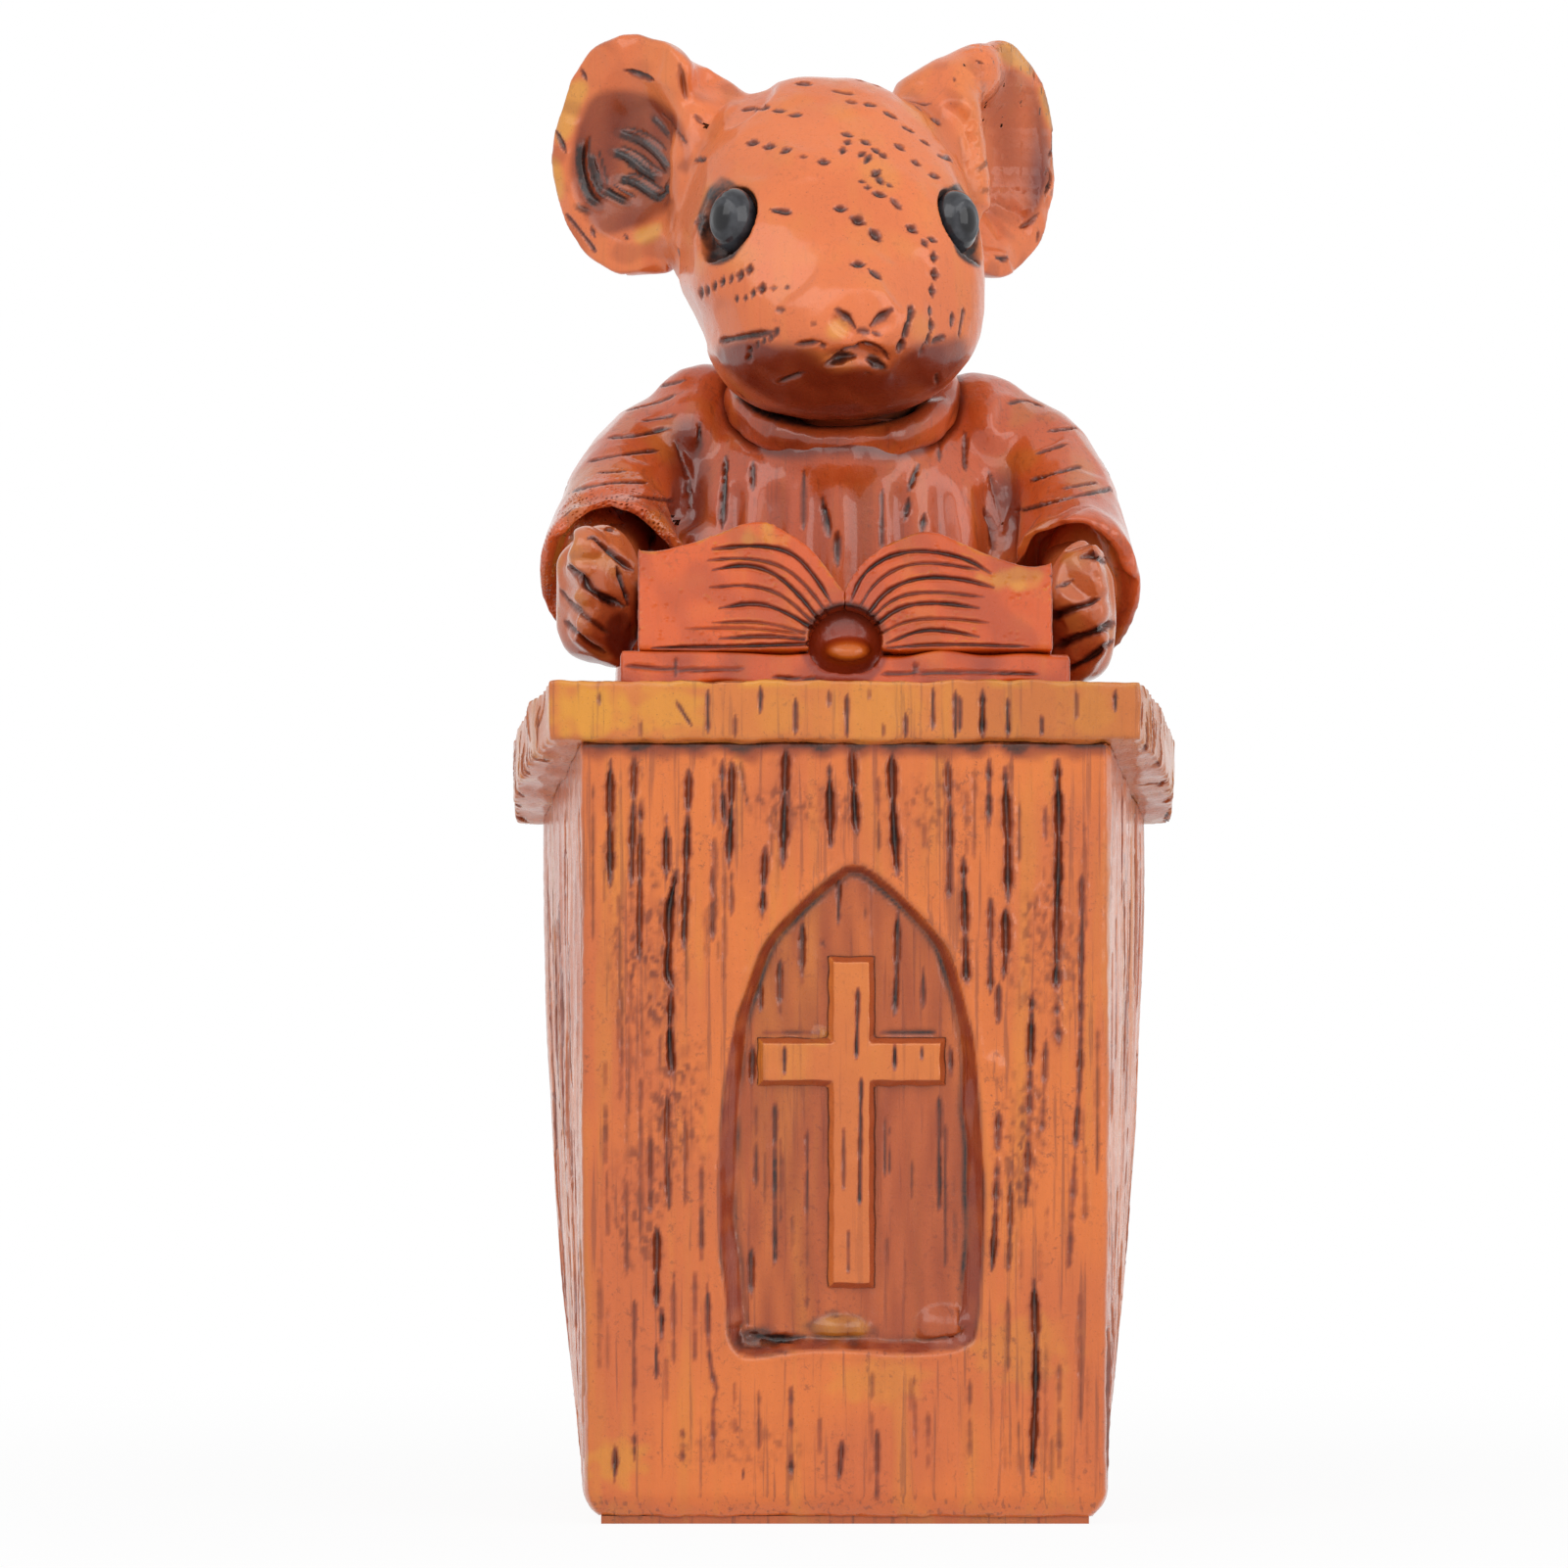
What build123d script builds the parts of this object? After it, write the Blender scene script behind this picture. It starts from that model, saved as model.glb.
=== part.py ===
"""Mouse figurine: a robed mouse reading an open book at a pulpit, cast in resin.

X runs to the right as seen from the front, the front faces -Y, and Z is up from the table.
The origin is on the table, under the middle of the figure's box. All lengths are millimetres.
"""

from build123d import *
from math import copysign, cos, pi, radians, sin, tan
import os

os.makedirs("parts", exist_ok=True)

# Joints between the glued pieces
fit_gap = 0.1
overrun = 1.0

# Base plate
base_thickness = 0.5
base_inset = 0.15

# Pulpit block, with a flat front and flanks that splay towards the back
pulpit_front_width = 32.7
pulpit_foot_width = 33.4
pulpit_top_width = 38.8
pulpit_depth = 20.0
pulpit_front_height = 49.0
pulpit_foot_inset = 0.9
pulpit_foot_rise = 1.6
flank_height_shares = (0.0, 0.16, 0.42, 0.7, 1.0)
flank_splay_shares = (0.0, 0.38, 0.76, 0.98, 1.0)

# Pointed niche in the pulpit's front
niche_width = 15.6
niche_shift = 0.4
niche_belly = 0.6
niche_foot_height = 10.6
niche_spring_height = 30.0
niche_tip_height = 41.7
niche_depth = 1.0
niche_wall_slant = 0.9
niche_bulge_shares = (0.654, 0.624)

# Cross in the niche
cross_head_gap = 6.0
cross_foot_gap = 4.1
cross_side_gap = 1.8
cross_post_width = 3.1
cross_arm_width = 3.2
cross_arm_share = 0.681
cross_raise = 0.8
cross_bevel_angle = 30

# Desk slab that slopes down to the reader
desk_width = 42.4
desk_depth = 22.0
desk_thickness = 3.7
desk_overhang = 0.9
desk_slope = 14
desk_key_width = 12.0
desk_key_length = 8.0
desk_key_depth = 2.4
desk_reach_shares = (0.0, 0.27, 0.5, 0.74, 1.0)
desk_splay_shares = (0.87, 0.94, 0.98, 1.0, 1.0)

# Open book, its head end to the front
book_setback = 1.0
book_length = 17.4
cover_width = 28.2
cover_thickness = 2.2
page_span = 13.0
page_height = 8.3
gutter_height = 3.9
spine_hollow_radius = 2.3
spine_hollow_rise = 0.6
spine_hollow_depth = 2.2
left_page_shares = ((0.08, 0.62), (0.18, 0.82), (0.3, 0.94), (0.44, 1.0), (0.6, 0.94), (0.8, 0.81))
left_page_edge_share = 0.8
right_page_shares = ((0.08, 0.66), (0.18, 0.82), (0.29, 0.9), (0.41, 0.92), (0.58, 0.83), (0.8, 0.68))
right_page_edge_share = 0.7

# Robe behind the pulpit
robe_width = 31.0
robe_depth = 21.6
robe_rise = 21.6
robe_overlap = 0.1
robe_height_shares = (0.0, 0.2, 0.45, 0.68, 0.82, 0.92, 1.0)
robe_width_shares = (1.0, 0.97, 0.95, 0.97, 0.93, 0.78, 0.51)
robe_depth_shares = (1.0, 0.94, 0.92, 0.9, 0.87, 0.81, 0.73)
robe_lean_shares = (0.0, 0.0, 0.0, 0.01, 0.04, 0.08, 0.14)
robe_tilt_shares = (0.0, 0.0, 0.0, 0.0, 0.15, 0.5, 1.0)

# Folds down the robe's back and sides
fold_radius = 2.2
fold_depth = 0.7
fold_height_shares = (0.1, 0.7)
fold_turn_shares = (-0.12, 0.02, 0.15, 0.27, 0.38, 0.62, 0.73, 0.85, 0.98, 1.12)

# Neck, leaning forward through the collar
neck_tilt = 30
neck_radius = 5.5
neck_length = 4.2
neck_socket_depth = 4.5
collar_width = 2.1
collar_height = 2.5
collar_rounding = 0.9

# Head
head_width = 19.6
head_height = 22.3
head_length = 22.3
head_yaw = 9.5
head_shift = 1.0
head_advance = 4.5
jaw_drop = 0.6
head_square_share = 0.87
head_widest_share = 0.43
head_along_shares = (0.0, 0.09, 0.27, 0.43, 0.58, 0.74, 0.865, 0.955, 1.0)
head_width_shares = (0.31, 0.66, 0.94, 1.0, 0.99, 0.91, 0.66, 0.39, 0.16)
head_low_shares = (0.41, 0.23, 0.07, 0.01, 0.0, 0.03, 0.09, 0.156, 0.23)
head_high_shares = (0.73, 0.85, 0.98, 1.0, 0.9, 0.735, 0.55, 0.413, 0.35)

# Ears, each a dished disc on a root peg
ear_width = 12.8
ear_height = 15.5
ear_thickness = 3.4
ear_rim = 1.7
ear_dish_depth = 2.2
ear_facing = 44
ear_out_share = 1.26
ear_back_share = 0.2
ear_up_share = 0.785
ear_back_width_share = 0.6
ear_dish_floor_share = 0.5
ear_peg_radius = 1.8
ear_peg_length = 8.5
ear_root_radius = 2.6
ear_root_height = 9.0
ear_root_inward_share = 0.33
ear_root_back_share = 0.95

# Eye beads
eye_radius = 1.55
eye_height = 4.2
eye_out_share = 0.735
eye_forward_share = 0.29
eye_up_share = 0.565
eye_ring_width = 0.6
eye_ring_shift = 1.2

# Nostrils and mouth
nostril_radius = 0.5
nostril_length = 2.0
nostril_out = 1.2
nostril_slant = 40
nostril_up_share = 0.25
mouth_radius = 0.7
mouth_length = 3.0
mouth_out = 0.85
mouth_slant = 25
mouth_along_share = 0.955
mouth_up_share = 0.16

# Arms: sleeves from the shoulders to the cuffs, and hands at the book
arm_span = 14.8
arm_reach = 12.6
arm_drop = 7.4
arm_root_drop = 3.4
arm_out_shares = (0.42, 0.82, 0.99, 1.0)
arm_forward_shares = (0.0, 0.18, 0.62, 1.0)
arm_down_shares = (0.0, 0.16, 0.72, 1.0)
sleeve_radius = 5.3
sleeve_size_shares = (0.92, 1.02, 0.98, 1.06)
sleeve_left_width_share = 0.86
sleeve_right_width_share = 0.78
sleeve_right_drop = 1.1
sleeve_wall = 0.8
sleeve_mouth_depth = 5.0
wrist_radius = 2.2
wrist_plug_depth = 2.5
hand_width = 5.4
hand_height = 9.4
hand_length = 8.4
hand_forward = 5.0
hand_drop = 1.1
hand_overlap = 1.1
finger_count = 4
finger_radius = 1.45
finger_length = 6.0
heel_share = 0.8
finger_slant = 32

# Tail down the back of the robe
tail_radius = 1.2
tail_root_height = 17.0
tail_bend_radius = 2.4
tail_swing = 9.0
tail_tip_height = 2.4
tail_sink = 0.35
tail_plug_length = 2.2

# Points on each smooth outline
outline_points = 16
robe_square_share = 0.87

# Shoulder height, over the pulpit that the arms reach across
robe_height = pulpit_front_height + robe_rise

# Places along the depth
figure_depth = (
    desk_overhang + pulpit_depth - robe_overlap + robe_depth + 2 * tail_radius - tail_sink
)
front_y = -figure_depth / 2
pulpit_front_y = front_y + desk_overhang
pulpit_back_y = pulpit_front_y + pulpit_depth
robe_middle_y = pulpit_back_y + robe_depth / 2 - robe_overlap
robe_back_y = robe_middle_y + robe_depth / 2


def desk_under_height(y):
    """Height of the slab's underside at a place along the depth."""
    return pulpit_front_height - (y - pulpit_front_y) * tan(radians(desk_slope))


def desk_top_height(y):
    """Height of the slab's top at a place along the depth."""
    return desk_under_height(y) + desk_thickness


def smooth_face(plane, half_width, low, high, square_share):
    """Closed smooth face, fuller at its corners than an ellipse."""
    points = []
    for step in range(outline_points):
        turn = 2 * pi * step / outline_points
        across = copysign(abs(cos(turn)) ** square_share, cos(turn))
        upward = abs(sin(turn)) ** square_share
        points.append((half_width * across, high * upward if sin(turn) > 0 else -low * upward))
    with BuildSketch(plane) as face:
        with BuildLine():
            Spline(*points, periodic=True)
        make_face()
    return face.sketch


def egg(plane, radius, half_length):
    """Solid of revolution about the plane's normal, rounded at both ends."""
    with BuildPart() as body:
        with BuildSketch(Plane.XZ):
            with BuildLine():
                EllipticalCenterArc((0, 0), radius, half_length, start_angle=-90, arc_size=180)
                Line((0, half_length), (0, -half_length))
            make_face()
        revolve(axis=Axis.Z)
    return plane.location * body.part


def capsule(plane, radius, length):
    """Round rod along the plane's normal, about the plane's origin, with half balls for ends."""
    straight = length / 2 - radius
    with BuildPart() as body:
        with BuildSketch(Plane.XZ):
            with BuildLine():
                Line((radius, -straight), (radius, straight))
                CenterArc((0, straight), radius, 0, 90)
                Line((0, straight + radius), (0, -straight - radius))
                CenterArc((0, -straight), radius, -90, 90)
            make_face()
        revolve(axis=Axis.Z)
    return plane.location * body.part


def rod(plane, radius, length):
    """Round rod along the plane's normal, from the plane's origin."""
    with BuildPart() as body:
        with BuildSketch(plane):
            Circle(radius)
        extrude(amount=length)
    return body.part


# Pulpit
def pulpit_face(height, back_width, inset):
    """Level section of the pulpit at a height."""
    front = pulpit_front_width / 2 - inset
    back = back_width / 2 - inset
    with BuildSketch(Plane.XY.offset(height)) as face:
        with BuildLine():
            Polyline(
                (-front, pulpit_front_y + inset),
                (front, pulpit_front_y + inset),
                (back, pulpit_back_y),
                (-back, pulpit_back_y),
                close=True,
            )
        make_face()
    return face.sketch


def arch_face(plane, inset):
    """Pointed arch outline of the niche, drawn in by an inset."""
    half = niche_width / 2 - inset
    foot = niche_foot_height + inset
    tip = niche_tip_height - 2 * inset
    out_share, up_share = niche_bulge_shares
    bulge_height = niche_spring_height + up_share * (tip - niche_spring_height)
    belly_height = (foot + niche_spring_height) / 2
    with BuildSketch(plane) as face:
        with BuildLine():
            Line((-half, foot), (half, foot))
            ThreePointArc((half, foot), (half + niche_belly, belly_height), (half, niche_spring_height))
            ThreePointArc((half, niche_spring_height), (half * out_share, bulge_height), (0, tip))
            ThreePointArc((0, tip), (-half * out_share, bulge_height), (-half, niche_spring_height))
            ThreePointArc((-half, niche_spring_height), (-half - niche_belly, belly_height), (-half, foot))
        make_face()
    return face.sketch


niche_plane = Plane(origin=(niche_shift, pulpit_front_y, 0), x_dir=(1, 0, 0), z_dir=(0, -1, 0))
desk_normal = Vector(0, sin(radians(desk_slope)), cos(radians(desk_slope)))
desk_under_plane = Plane(
    origin=(0, pulpit_front_y, pulpit_front_height), x_dir=(1, 0, 0), z_dir=desk_normal
)
desk_top_plane = Plane(
    origin=(0, pulpit_front_y, pulpit_front_height + desk_thickness), x_dir=(1, 0, 0), z_dir=desk_normal
)
desk_key_plane = Plane(
    origin=(0, pulpit_front_y + pulpit_depth / 2, desk_under_height(pulpit_front_y + pulpit_depth / 2)),
    x_dir=(1, 0, 0),
    z_dir=desk_normal,
)

with BuildPart() as pulpit_body:
    flank_start = base_thickness + pulpit_foot_rise
    for height_share, splay_share in zip(flank_height_shares, flank_splay_shares):
        height = flank_start + height_share * (pulpit_front_height + overrun - flank_start)
        splay = splay_share * (pulpit_top_width - pulpit_foot_width)
        add(pulpit_face(height, pulpit_foot_width + splay, 0))
    loft()
    add(pulpit_face(base_thickness, pulpit_foot_width, pulpit_foot_inset))
    add(pulpit_face(flank_start, pulpit_foot_width, 0))
    loft(ruled=True)
    split(bisect_by=desk_under_plane, keep=Keep.BOTTOM)
    add(arch_face(niche_plane.offset(overrun), -niche_wall_slant * overrun / niche_depth))
    add(arch_face(niche_plane.offset(-niche_depth), niche_wall_slant))
    loft(ruled=True, mode=Mode.SUBTRACT)
    with BuildSketch(desk_key_plane):
        Rectangle(desk_key_width + 2 * fit_gap, desk_key_length + 2 * fit_gap)
    extrude(amount=-desk_key_depth - fit_gap, mode=Mode.SUBTRACT)

# Cross on the niche's floor
with BuildPart() as niche_cross:
    cross_foot = niche_foot_height + cross_foot_gap
    cross_height = niche_tip_height - cross_head_gap - cross_foot
    with BuildSketch(niche_plane.offset(-niche_depth)):
        with Locations((0, cross_foot + cross_height / 2)):
            Rectangle(cross_post_width, cross_height)
        with Locations((0, cross_foot + cross_arm_share * cross_height)):
            Rectangle(niche_width - 2 * cross_side_gap, cross_arm_width)
    extrude(amount=cross_raise, taper=cross_bevel_angle)

# Desk slab with its key
with BuildPart() as desk_top:
    right_edge = []
    for reach_share, splay_share in zip(desk_reach_shares, desk_splay_shares):
        right_edge.append((splay_share * desk_width / 2, front_y + reach_share * desk_depth))
    left_edge = [(-x, y) for x, y in reversed(right_edge)]
    desk_back_low = desk_under_height(front_y + desk_depth) - overrun
    with BuildSketch(Plane.XY.offset(desk_back_low)):
        with BuildLine():
            Polyline(*right_edge, *left_edge, close=True)
        make_face()
    extrude(amount=desk_top_height(front_y) + overrun - desk_back_low)
    split(bisect_by=desk_under_plane, keep=Keep.TOP)
    split(bisect_by=desk_top_plane, keep=Keep.BOTTOM)
    with BuildSketch(desk_key_plane):
        Rectangle(desk_key_width, desk_key_length)
    extrude(amount=-desk_key_depth)

# Book
book_front_y = front_y + book_setback
book_plane = Plane(
    origin=(0, book_front_y, desk_top_height(book_front_y)),
    x_dir=(1, 0, 0),
    z_dir=(0, -cos(radians(desk_slope)), sin(radians(desk_slope))),
)


def spine_hollow():
    """Round hollow in the book's head end, where the pages meet the spine."""
    with BuildPart() as hollow:
        with BuildSketch(book_plane.offset(overrun)):
            with Locations((0, cover_thickness + spine_hollow_rise)):
                Circle(spine_hollow_radius)
        extrude(amount=-overrun - spine_hollow_depth)
    return hollow.part


def page_block(side, top_shares, edge_share):
    """Half of the page block: its curved leaves fall to the gutter and to the outer edge."""
    floor = cover_thickness
    crown = [(0, floor + gutter_height)]
    for across_share, up_share in top_shares:
        crown.append((side * across_share * page_span, floor + up_share * page_height))
    crown.append((side * page_span, floor + edge_share * page_height))
    with BuildPart() as block:
        with BuildSketch(book_plane):
            with BuildLine():
                Spline(*crown)
                Polyline(crown[-1], (side * page_span, floor), (0, floor), crown[0])
            make_face()
        extrude(amount=-book_length)
        add(spine_hollow(), mode=Mode.SUBTRACT)
    return block.part


with BuildPart() as book_cover:
    with BuildSketch(book_plane):
        with BuildLine():
            half_cover = cover_width / 2
            Polyline(
                (0, cover_thickness),
                (-half_cover, cover_thickness),
                (-half_cover, 0),
                (half_cover, 0),
                (half_cover, cover_thickness),
                close=True,
            )
        make_face()
    extrude(amount=-book_length)
    add(spine_hollow(), mode=Mode.SUBTRACT)

with BuildPart() as book_pages_left:
    add(page_block(-1, left_page_shares, left_page_edge_share))

with BuildPart() as book_pages_right:
    add(page_block(1, right_page_shares, right_page_edge_share))

# Neck line and collar
neck_direction = Vector(0, -sin(radians(neck_tilt)), cos(radians(neck_tilt)))
neck_base = Vector(0, robe_middle_y - robe_lean_shares[-1] * robe_depth, robe_height)
neck_plane = Plane(origin=neck_base, x_dir=(1, 0, 0), z_dir=neck_direction)
collar_plane = Plane(
    origin=neck_base, x_dir=(1, 0, 0), z_dir=(0, -cos(radians(neck_tilt)), -sin(radians(neck_tilt)))
)
head_middle = Vector(-head_shift, neck_base.Y - head_advance, robe_height - jaw_drop)
head_forward = Vector(sin(radians(head_yaw)), -cos(radians(head_yaw)), 0)
head_side = Vector(cos(radians(head_yaw)), sin(radians(head_yaw)), 0)
widest_along = head_along_shares[head_width_shares.index(max(head_width_shares))]


def head_place(out, forward, up):
    """Point of the turned head, measured from its widest section's lowest point."""
    return head_middle + head_side * out + head_forward * forward + Vector(0, 0, up)


def eye_bead(side, gap):
    """Upright bead set in the side of the head."""
    place = head_place(
        side * eye_out_share * head_width / 2, eye_forward_share * head_length, eye_up_share * head_height
    )
    upright = Plane(origin=place, x_dir=head_side, z_dir=(0, 0, 1))
    return egg(upright, eye_radius + gap, eye_height / 2 + gap)


def eye_ring(side):
    """Hollow that leaves a dished ring in the head round an eye."""
    place = head_place(
        side * (eye_out_share * head_width / 2 + eye_ring_shift),
        eye_forward_share * head_length,
        eye_up_share * head_height,
    )
    upright = Plane(origin=place, x_dir=head_side, z_dir=(0, 0, 1))
    return egg(upright, eye_radius + eye_ring_width, eye_height / 2 + eye_ring_width)


def nostril(side):
    """Slanting pit beside the tip of the nose."""
    slant = radians(nostril_slant)
    place = head_place(side * nostril_out, head_length * (1 - widest_along), nostril_up_share * head_height)
    way = head_side * (side * cos(slant)) + Vector(0, 0, sin(slant))
    return capsule(Plane(origin=place, z_dir=way), nostril_radius, nostril_length)


def mouth_corner(side):
    """Half of the arched mouth, which falls towards its corner."""
    slant = radians(mouth_slant)
    place = head_place(
        side * mouth_out, head_length * (mouth_along_share - widest_along), mouth_up_share * head_height
    )
    way = head_side * (side * cos(slant)) - Vector(0, 0, sin(slant))
    return capsule(Plane(origin=place, z_dir=way), mouth_radius, mouth_length)


def ear_frame(side):
    """Plane through an ear's rim, facing outwards and forwards."""
    facing = head_forward * cos(radians(ear_facing)) + head_side * (side * sin(radians(ear_facing)))
    across = facing.cross(Vector(0, 0, 1))
    place = head_place(
        side * ear_out_share * head_width / 2, -ear_back_share * head_length, ear_up_share * head_height
    )
    return Plane(origin=place, x_dir=across, z_dir=facing)


def ear_peg(side, gap):
    """Root peg from inside the ear's back towards the middle of the head."""
    rim = ear_frame(side)
    start = rim.origin - rim.z_dir * (ear_thickness / 2)
    inward = head_place(0, 0, ear_up_share * head_height) - start
    start_plane = Plane(origin=start, z_dir=inward.normalized())
    return rod(start_plane, ear_peg_radius + gap, ear_peg_length + gap)


with BuildPart() as skull:
    for along, width_share, low_share, high_share in zip(
        head_along_shares, head_width_shares, head_low_shares, head_high_shares
    ):
        middle_share = low_share + head_widest_share * (high_share - low_share)
        section = Plane(
            origin=head_place(0, (along - widest_along) * head_length, middle_share * head_height),
            x_dir=head_side * -1,
            z_dir=head_forward * -1,
        )
        low = (middle_share - low_share) * head_height
        high = (high_share - middle_share) * head_height
        add(smooth_face(section, width_share * head_width / 2, low, high, head_square_share))
    loft()

# Robe
with BuildPart() as robe_shape:
    for height_share, width_share, depth_share, lean_share, tilt_share in zip(
        robe_height_shares, robe_width_shares, robe_depth_shares, robe_lean_shares, robe_tilt_shares
    ):
        tilt = radians(tilt_share * neck_tilt)
        level = base_thickness + height_share * (robe_height - base_thickness)
        section = Plane(
            origin=(0, robe_middle_y - lean_share * robe_depth, level),
            x_dir=(1, 0, 0),
            z_dir=(0, -sin(tilt), cos(tilt)),
        )
        half_depth = depth_share * robe_depth / 2
        add(smooth_face(section, width_share * robe_width / 2, half_depth, half_depth, robe_square_share))
    loft()


def share_at(shares, height_share):
    """Share of the robe's size at a height, between the heights of its sections."""
    sections = list(zip(robe_height_shares, shares))
    for (low, low_share), (high, high_share) in zip(sections, sections[1:]):
        if low <= height_share <= high:
            return low_share + (height_share - low) / (high - low) * (high_share - low_share)


def fold(turn):
    """Long round furrow down the robe at a turn about its middle."""
    ends = []
    for height_share in fold_height_shares:
        half_width = share_at(robe_width_shares, height_share) * robe_width / 2
        half_depth = share_at(robe_depth_shares, height_share) * robe_depth / 2
        across = copysign(abs(cos(turn)) ** robe_square_share, cos(turn))
        back = copysign(abs(sin(turn)) ** robe_square_share, sin(turn))
        outward = Vector(cos(turn) / half_width, sin(turn) / half_depth, 0).normalized()
        level = base_thickness + height_share * (robe_height - base_thickness)
        surface = Vector(half_width * across, robe_middle_y + half_depth * back, level)
        ends.append(surface + outward * (fold_radius - fold_depth))
    way = ends[1] - ends[0]
    line = Plane(origin=(ends[0] + ends[1]) / 2, z_dir=way.normalized())
    return capsule(line, fold_radius, way.length + 2 * fold_radius)


# Collar round the neck
with BuildPart() as collar:
    with BuildSketch(collar_plane) as band:
        with Locations((neck_radius + fit_gap + collar_width / 2, collar_height / 2)):
            Rectangle(collar_width, collar_height)
        fillet(band.vertices().group_by(Axis.Z)[-1], collar_rounding)
    revolve(axis=Axis(origin=neck_base, direction=neck_direction))
    add(skull.part, mode=Mode.SUBTRACT)


# Arms
def arm_place(side, out_share, forward_share, down_share, drop):
    """Middle of the sleeve at a station between the shoulder and the cuff."""
    return Vector(
        side * out_share * arm_span,
        robe_middle_y - forward_share * arm_reach,
        robe_height - arm_root_drop - down_share * drop,
    )


def arm_planes(side, drop):
    """Planes square to the arm at each station, from the shoulder to the cuff."""
    stations = zip(arm_out_shares, arm_forward_shares, arm_down_shares)
    places = [arm_place(side, *shares, drop) for shares in stations]
    planes = []
    for index, place in enumerate(places):
        before = places[max(index - 1, 0)]
        after = places[min(index + 1, len(places) - 1)]
        heading = (after - before).normalized()
        planes.append(Plane(origin=place, x_dir=Vector(0, 0, 1).cross(heading), z_dir=heading))
    return planes


def hand_place(side, drop):
    """Middle of a hand, in front of its cuff and beside the book."""
    cuff = arm_planes(side, drop)[-1].origin
    beside = (cover_width + hand_width) / 2 - hand_overlap
    return Vector(side * beside, cuff.Y - hand_forward, cuff.Z - hand_drop)


def wrist(side, drop, gap):
    """Wrist from inside the hand to its plug in the closed end of the sleeve."""
    palm = hand_place(side, drop)
    cuff_plane = arm_planes(side, drop)[-1]
    inner = cuff_plane.origin - cuff_plane.z_dir * (sleeve_mouth_depth + wrist_plug_depth + gap)
    way = inner - palm
    return rod(Plane(origin=palm, z_dir=way.normalized()), wrist_radius + gap, way.length)


def sleeve(side, width_share, drop):
    """Bell sleeve, hollow behind its cuff."""
    planes = arm_planes(side, drop)
    with BuildPart() as body:
        for plane, size_share in zip(planes, sleeve_size_shares):
            with BuildSketch(plane):
                Ellipse(width_share * size_share * sleeve_radius, size_share * sleeve_radius)
        loft()
        mouth = planes[-1]
        cuff_share = sleeve_size_shares[-1]
        half_width = width_share * cuff_share * sleeve_radius - sleeve_wall
        half_height = cuff_share * sleeve_radius - sleeve_wall
        with BuildSketch(mouth):
            Ellipse(half_width, half_height)
        with BuildSketch(mouth.offset(-sleeve_mouth_depth)):
            Ellipse(half_width - sleeve_wall, half_height - sleeve_wall)
        loft(mode=Mode.SUBTRACT)
        add(robe_shape.part, mode=Mode.SUBTRACT)
        add(wrist(side, drop, fit_gap), mode=Mode.SUBTRACT)
        for block in (book_cover, book_pages_left, book_pages_right, collar):
            add(block.part, mode=Mode.SUBTRACT)
    return body.part.solids().sort_by(SortBy.VOLUME)[-1]


def hand(side, drop):
    """Paw that grips the book's side, its fingers slanting over the front."""
    middle = hand_place(side, drop)
    slant = radians(finger_slant)
    pitch = (hand_height - 2 * finger_radius) / (finger_count - 1)
    with BuildPart() as body:
        add(capsule(Plane(origin=middle), hand_width / 2, hand_height))
        heel = middle + Vector(0, hand_length / 4, 0)
        add(capsule(Plane(origin=heel), heel_share * hand_width / 2, heel_share * hand_height))
        for index in range(finger_count):
            up = (index - (finger_count - 1) / 2) * pitch * cos(slant)
            place = middle + Vector(0, -hand_length / 6, up)
            along = Vector(side * sin(slant), -cos(slant), sin(slant)).normalized()
            add(capsule(Plane(origin=place, z_dir=along), finger_radius, finger_length))
        add(wrist(side, drop, 0))
        for piece in (book_cover, book_pages_left, book_pages_right, desk_top):
            add(piece.part, mode=Mode.SUBTRACT)
    return body.part


sleeve_right_total_drop = arm_drop + sleeve_right_drop

with BuildPart() as sleeve_left:
    add(sleeve(-1, sleeve_left_width_share, arm_drop))

with BuildPart() as sleeve_right:
    add(sleeve(1, sleeve_right_width_share, sleeve_right_total_drop))

with BuildPart() as hand_left:
    add(hand(-1, arm_drop))

with BuildPart() as hand_right:
    add(hand(1, sleeve_right_total_drop))

# Head with its sockets
with BuildPart() as head:
    add(skull.part)
    add(rod(neck_plane.offset(-neck_socket_depth), neck_radius, neck_socket_depth + neck_length))
    for side in (-1, 1):
        add(eye_bead(side, fit_gap), mode=Mode.SUBTRACT)
        add(eye_ring(side), mode=Mode.SUBTRACT)
        add(nostril(side), mode=Mode.SUBTRACT)
        add(mouth_corner(side), mode=Mode.SUBTRACT)
        add(ear_peg(side, fit_gap), mode=Mode.SUBTRACT)


def ear(side):
    """Dished ear with its root peg."""
    rim = ear_frame(side)
    with BuildPart() as body:
        for depth, share in ((ear_thickness, ear_back_width_share), (ear_thickness / 2, 1), (0, 1)):
            half_height = share * ear_height / 2
            plane = rim.offset(-depth)
            add(smooth_face(plane, share * ear_width / 2, half_height, half_height, 1))
        loft()
        inward = rim.x_dir * (side * ear_root_inward_share * ear_width)
        root = rim.origin + inward - rim.z_dir * (ear_root_back_share * ear_thickness)
        add(capsule(Plane(origin=root), ear_root_radius, ear_root_height))
        add(skull.part, mode=Mode.SUBTRACT)
        add(ear_peg(side, 0))
        half_width = ear_width / 2 - ear_rim
        half_height = ear_height / 2 - ear_rim
        add(smooth_face(rim, half_width, half_height, half_height, 1))
        floor_share = ear_dish_floor_share
        add(
            smooth_face(
                rim.offset(-ear_dish_depth),
                half_width * floor_share,
                half_height * floor_share,
                half_height * floor_share,
                1,
            )
        )
        loft(mode=Mode.SUBTRACT)
    return body.part.solids().sort_by(SortBy.VOLUME)[-1]


with BuildPart() as ear_left:
    add(ear(-1))

with BuildPart() as ear_right:
    add(ear(1))

with BuildPart() as eye_left:
    add(eye_bead(-1, 0))

with BuildPart() as eye_right:
    add(eye_bead(1, 0))


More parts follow.
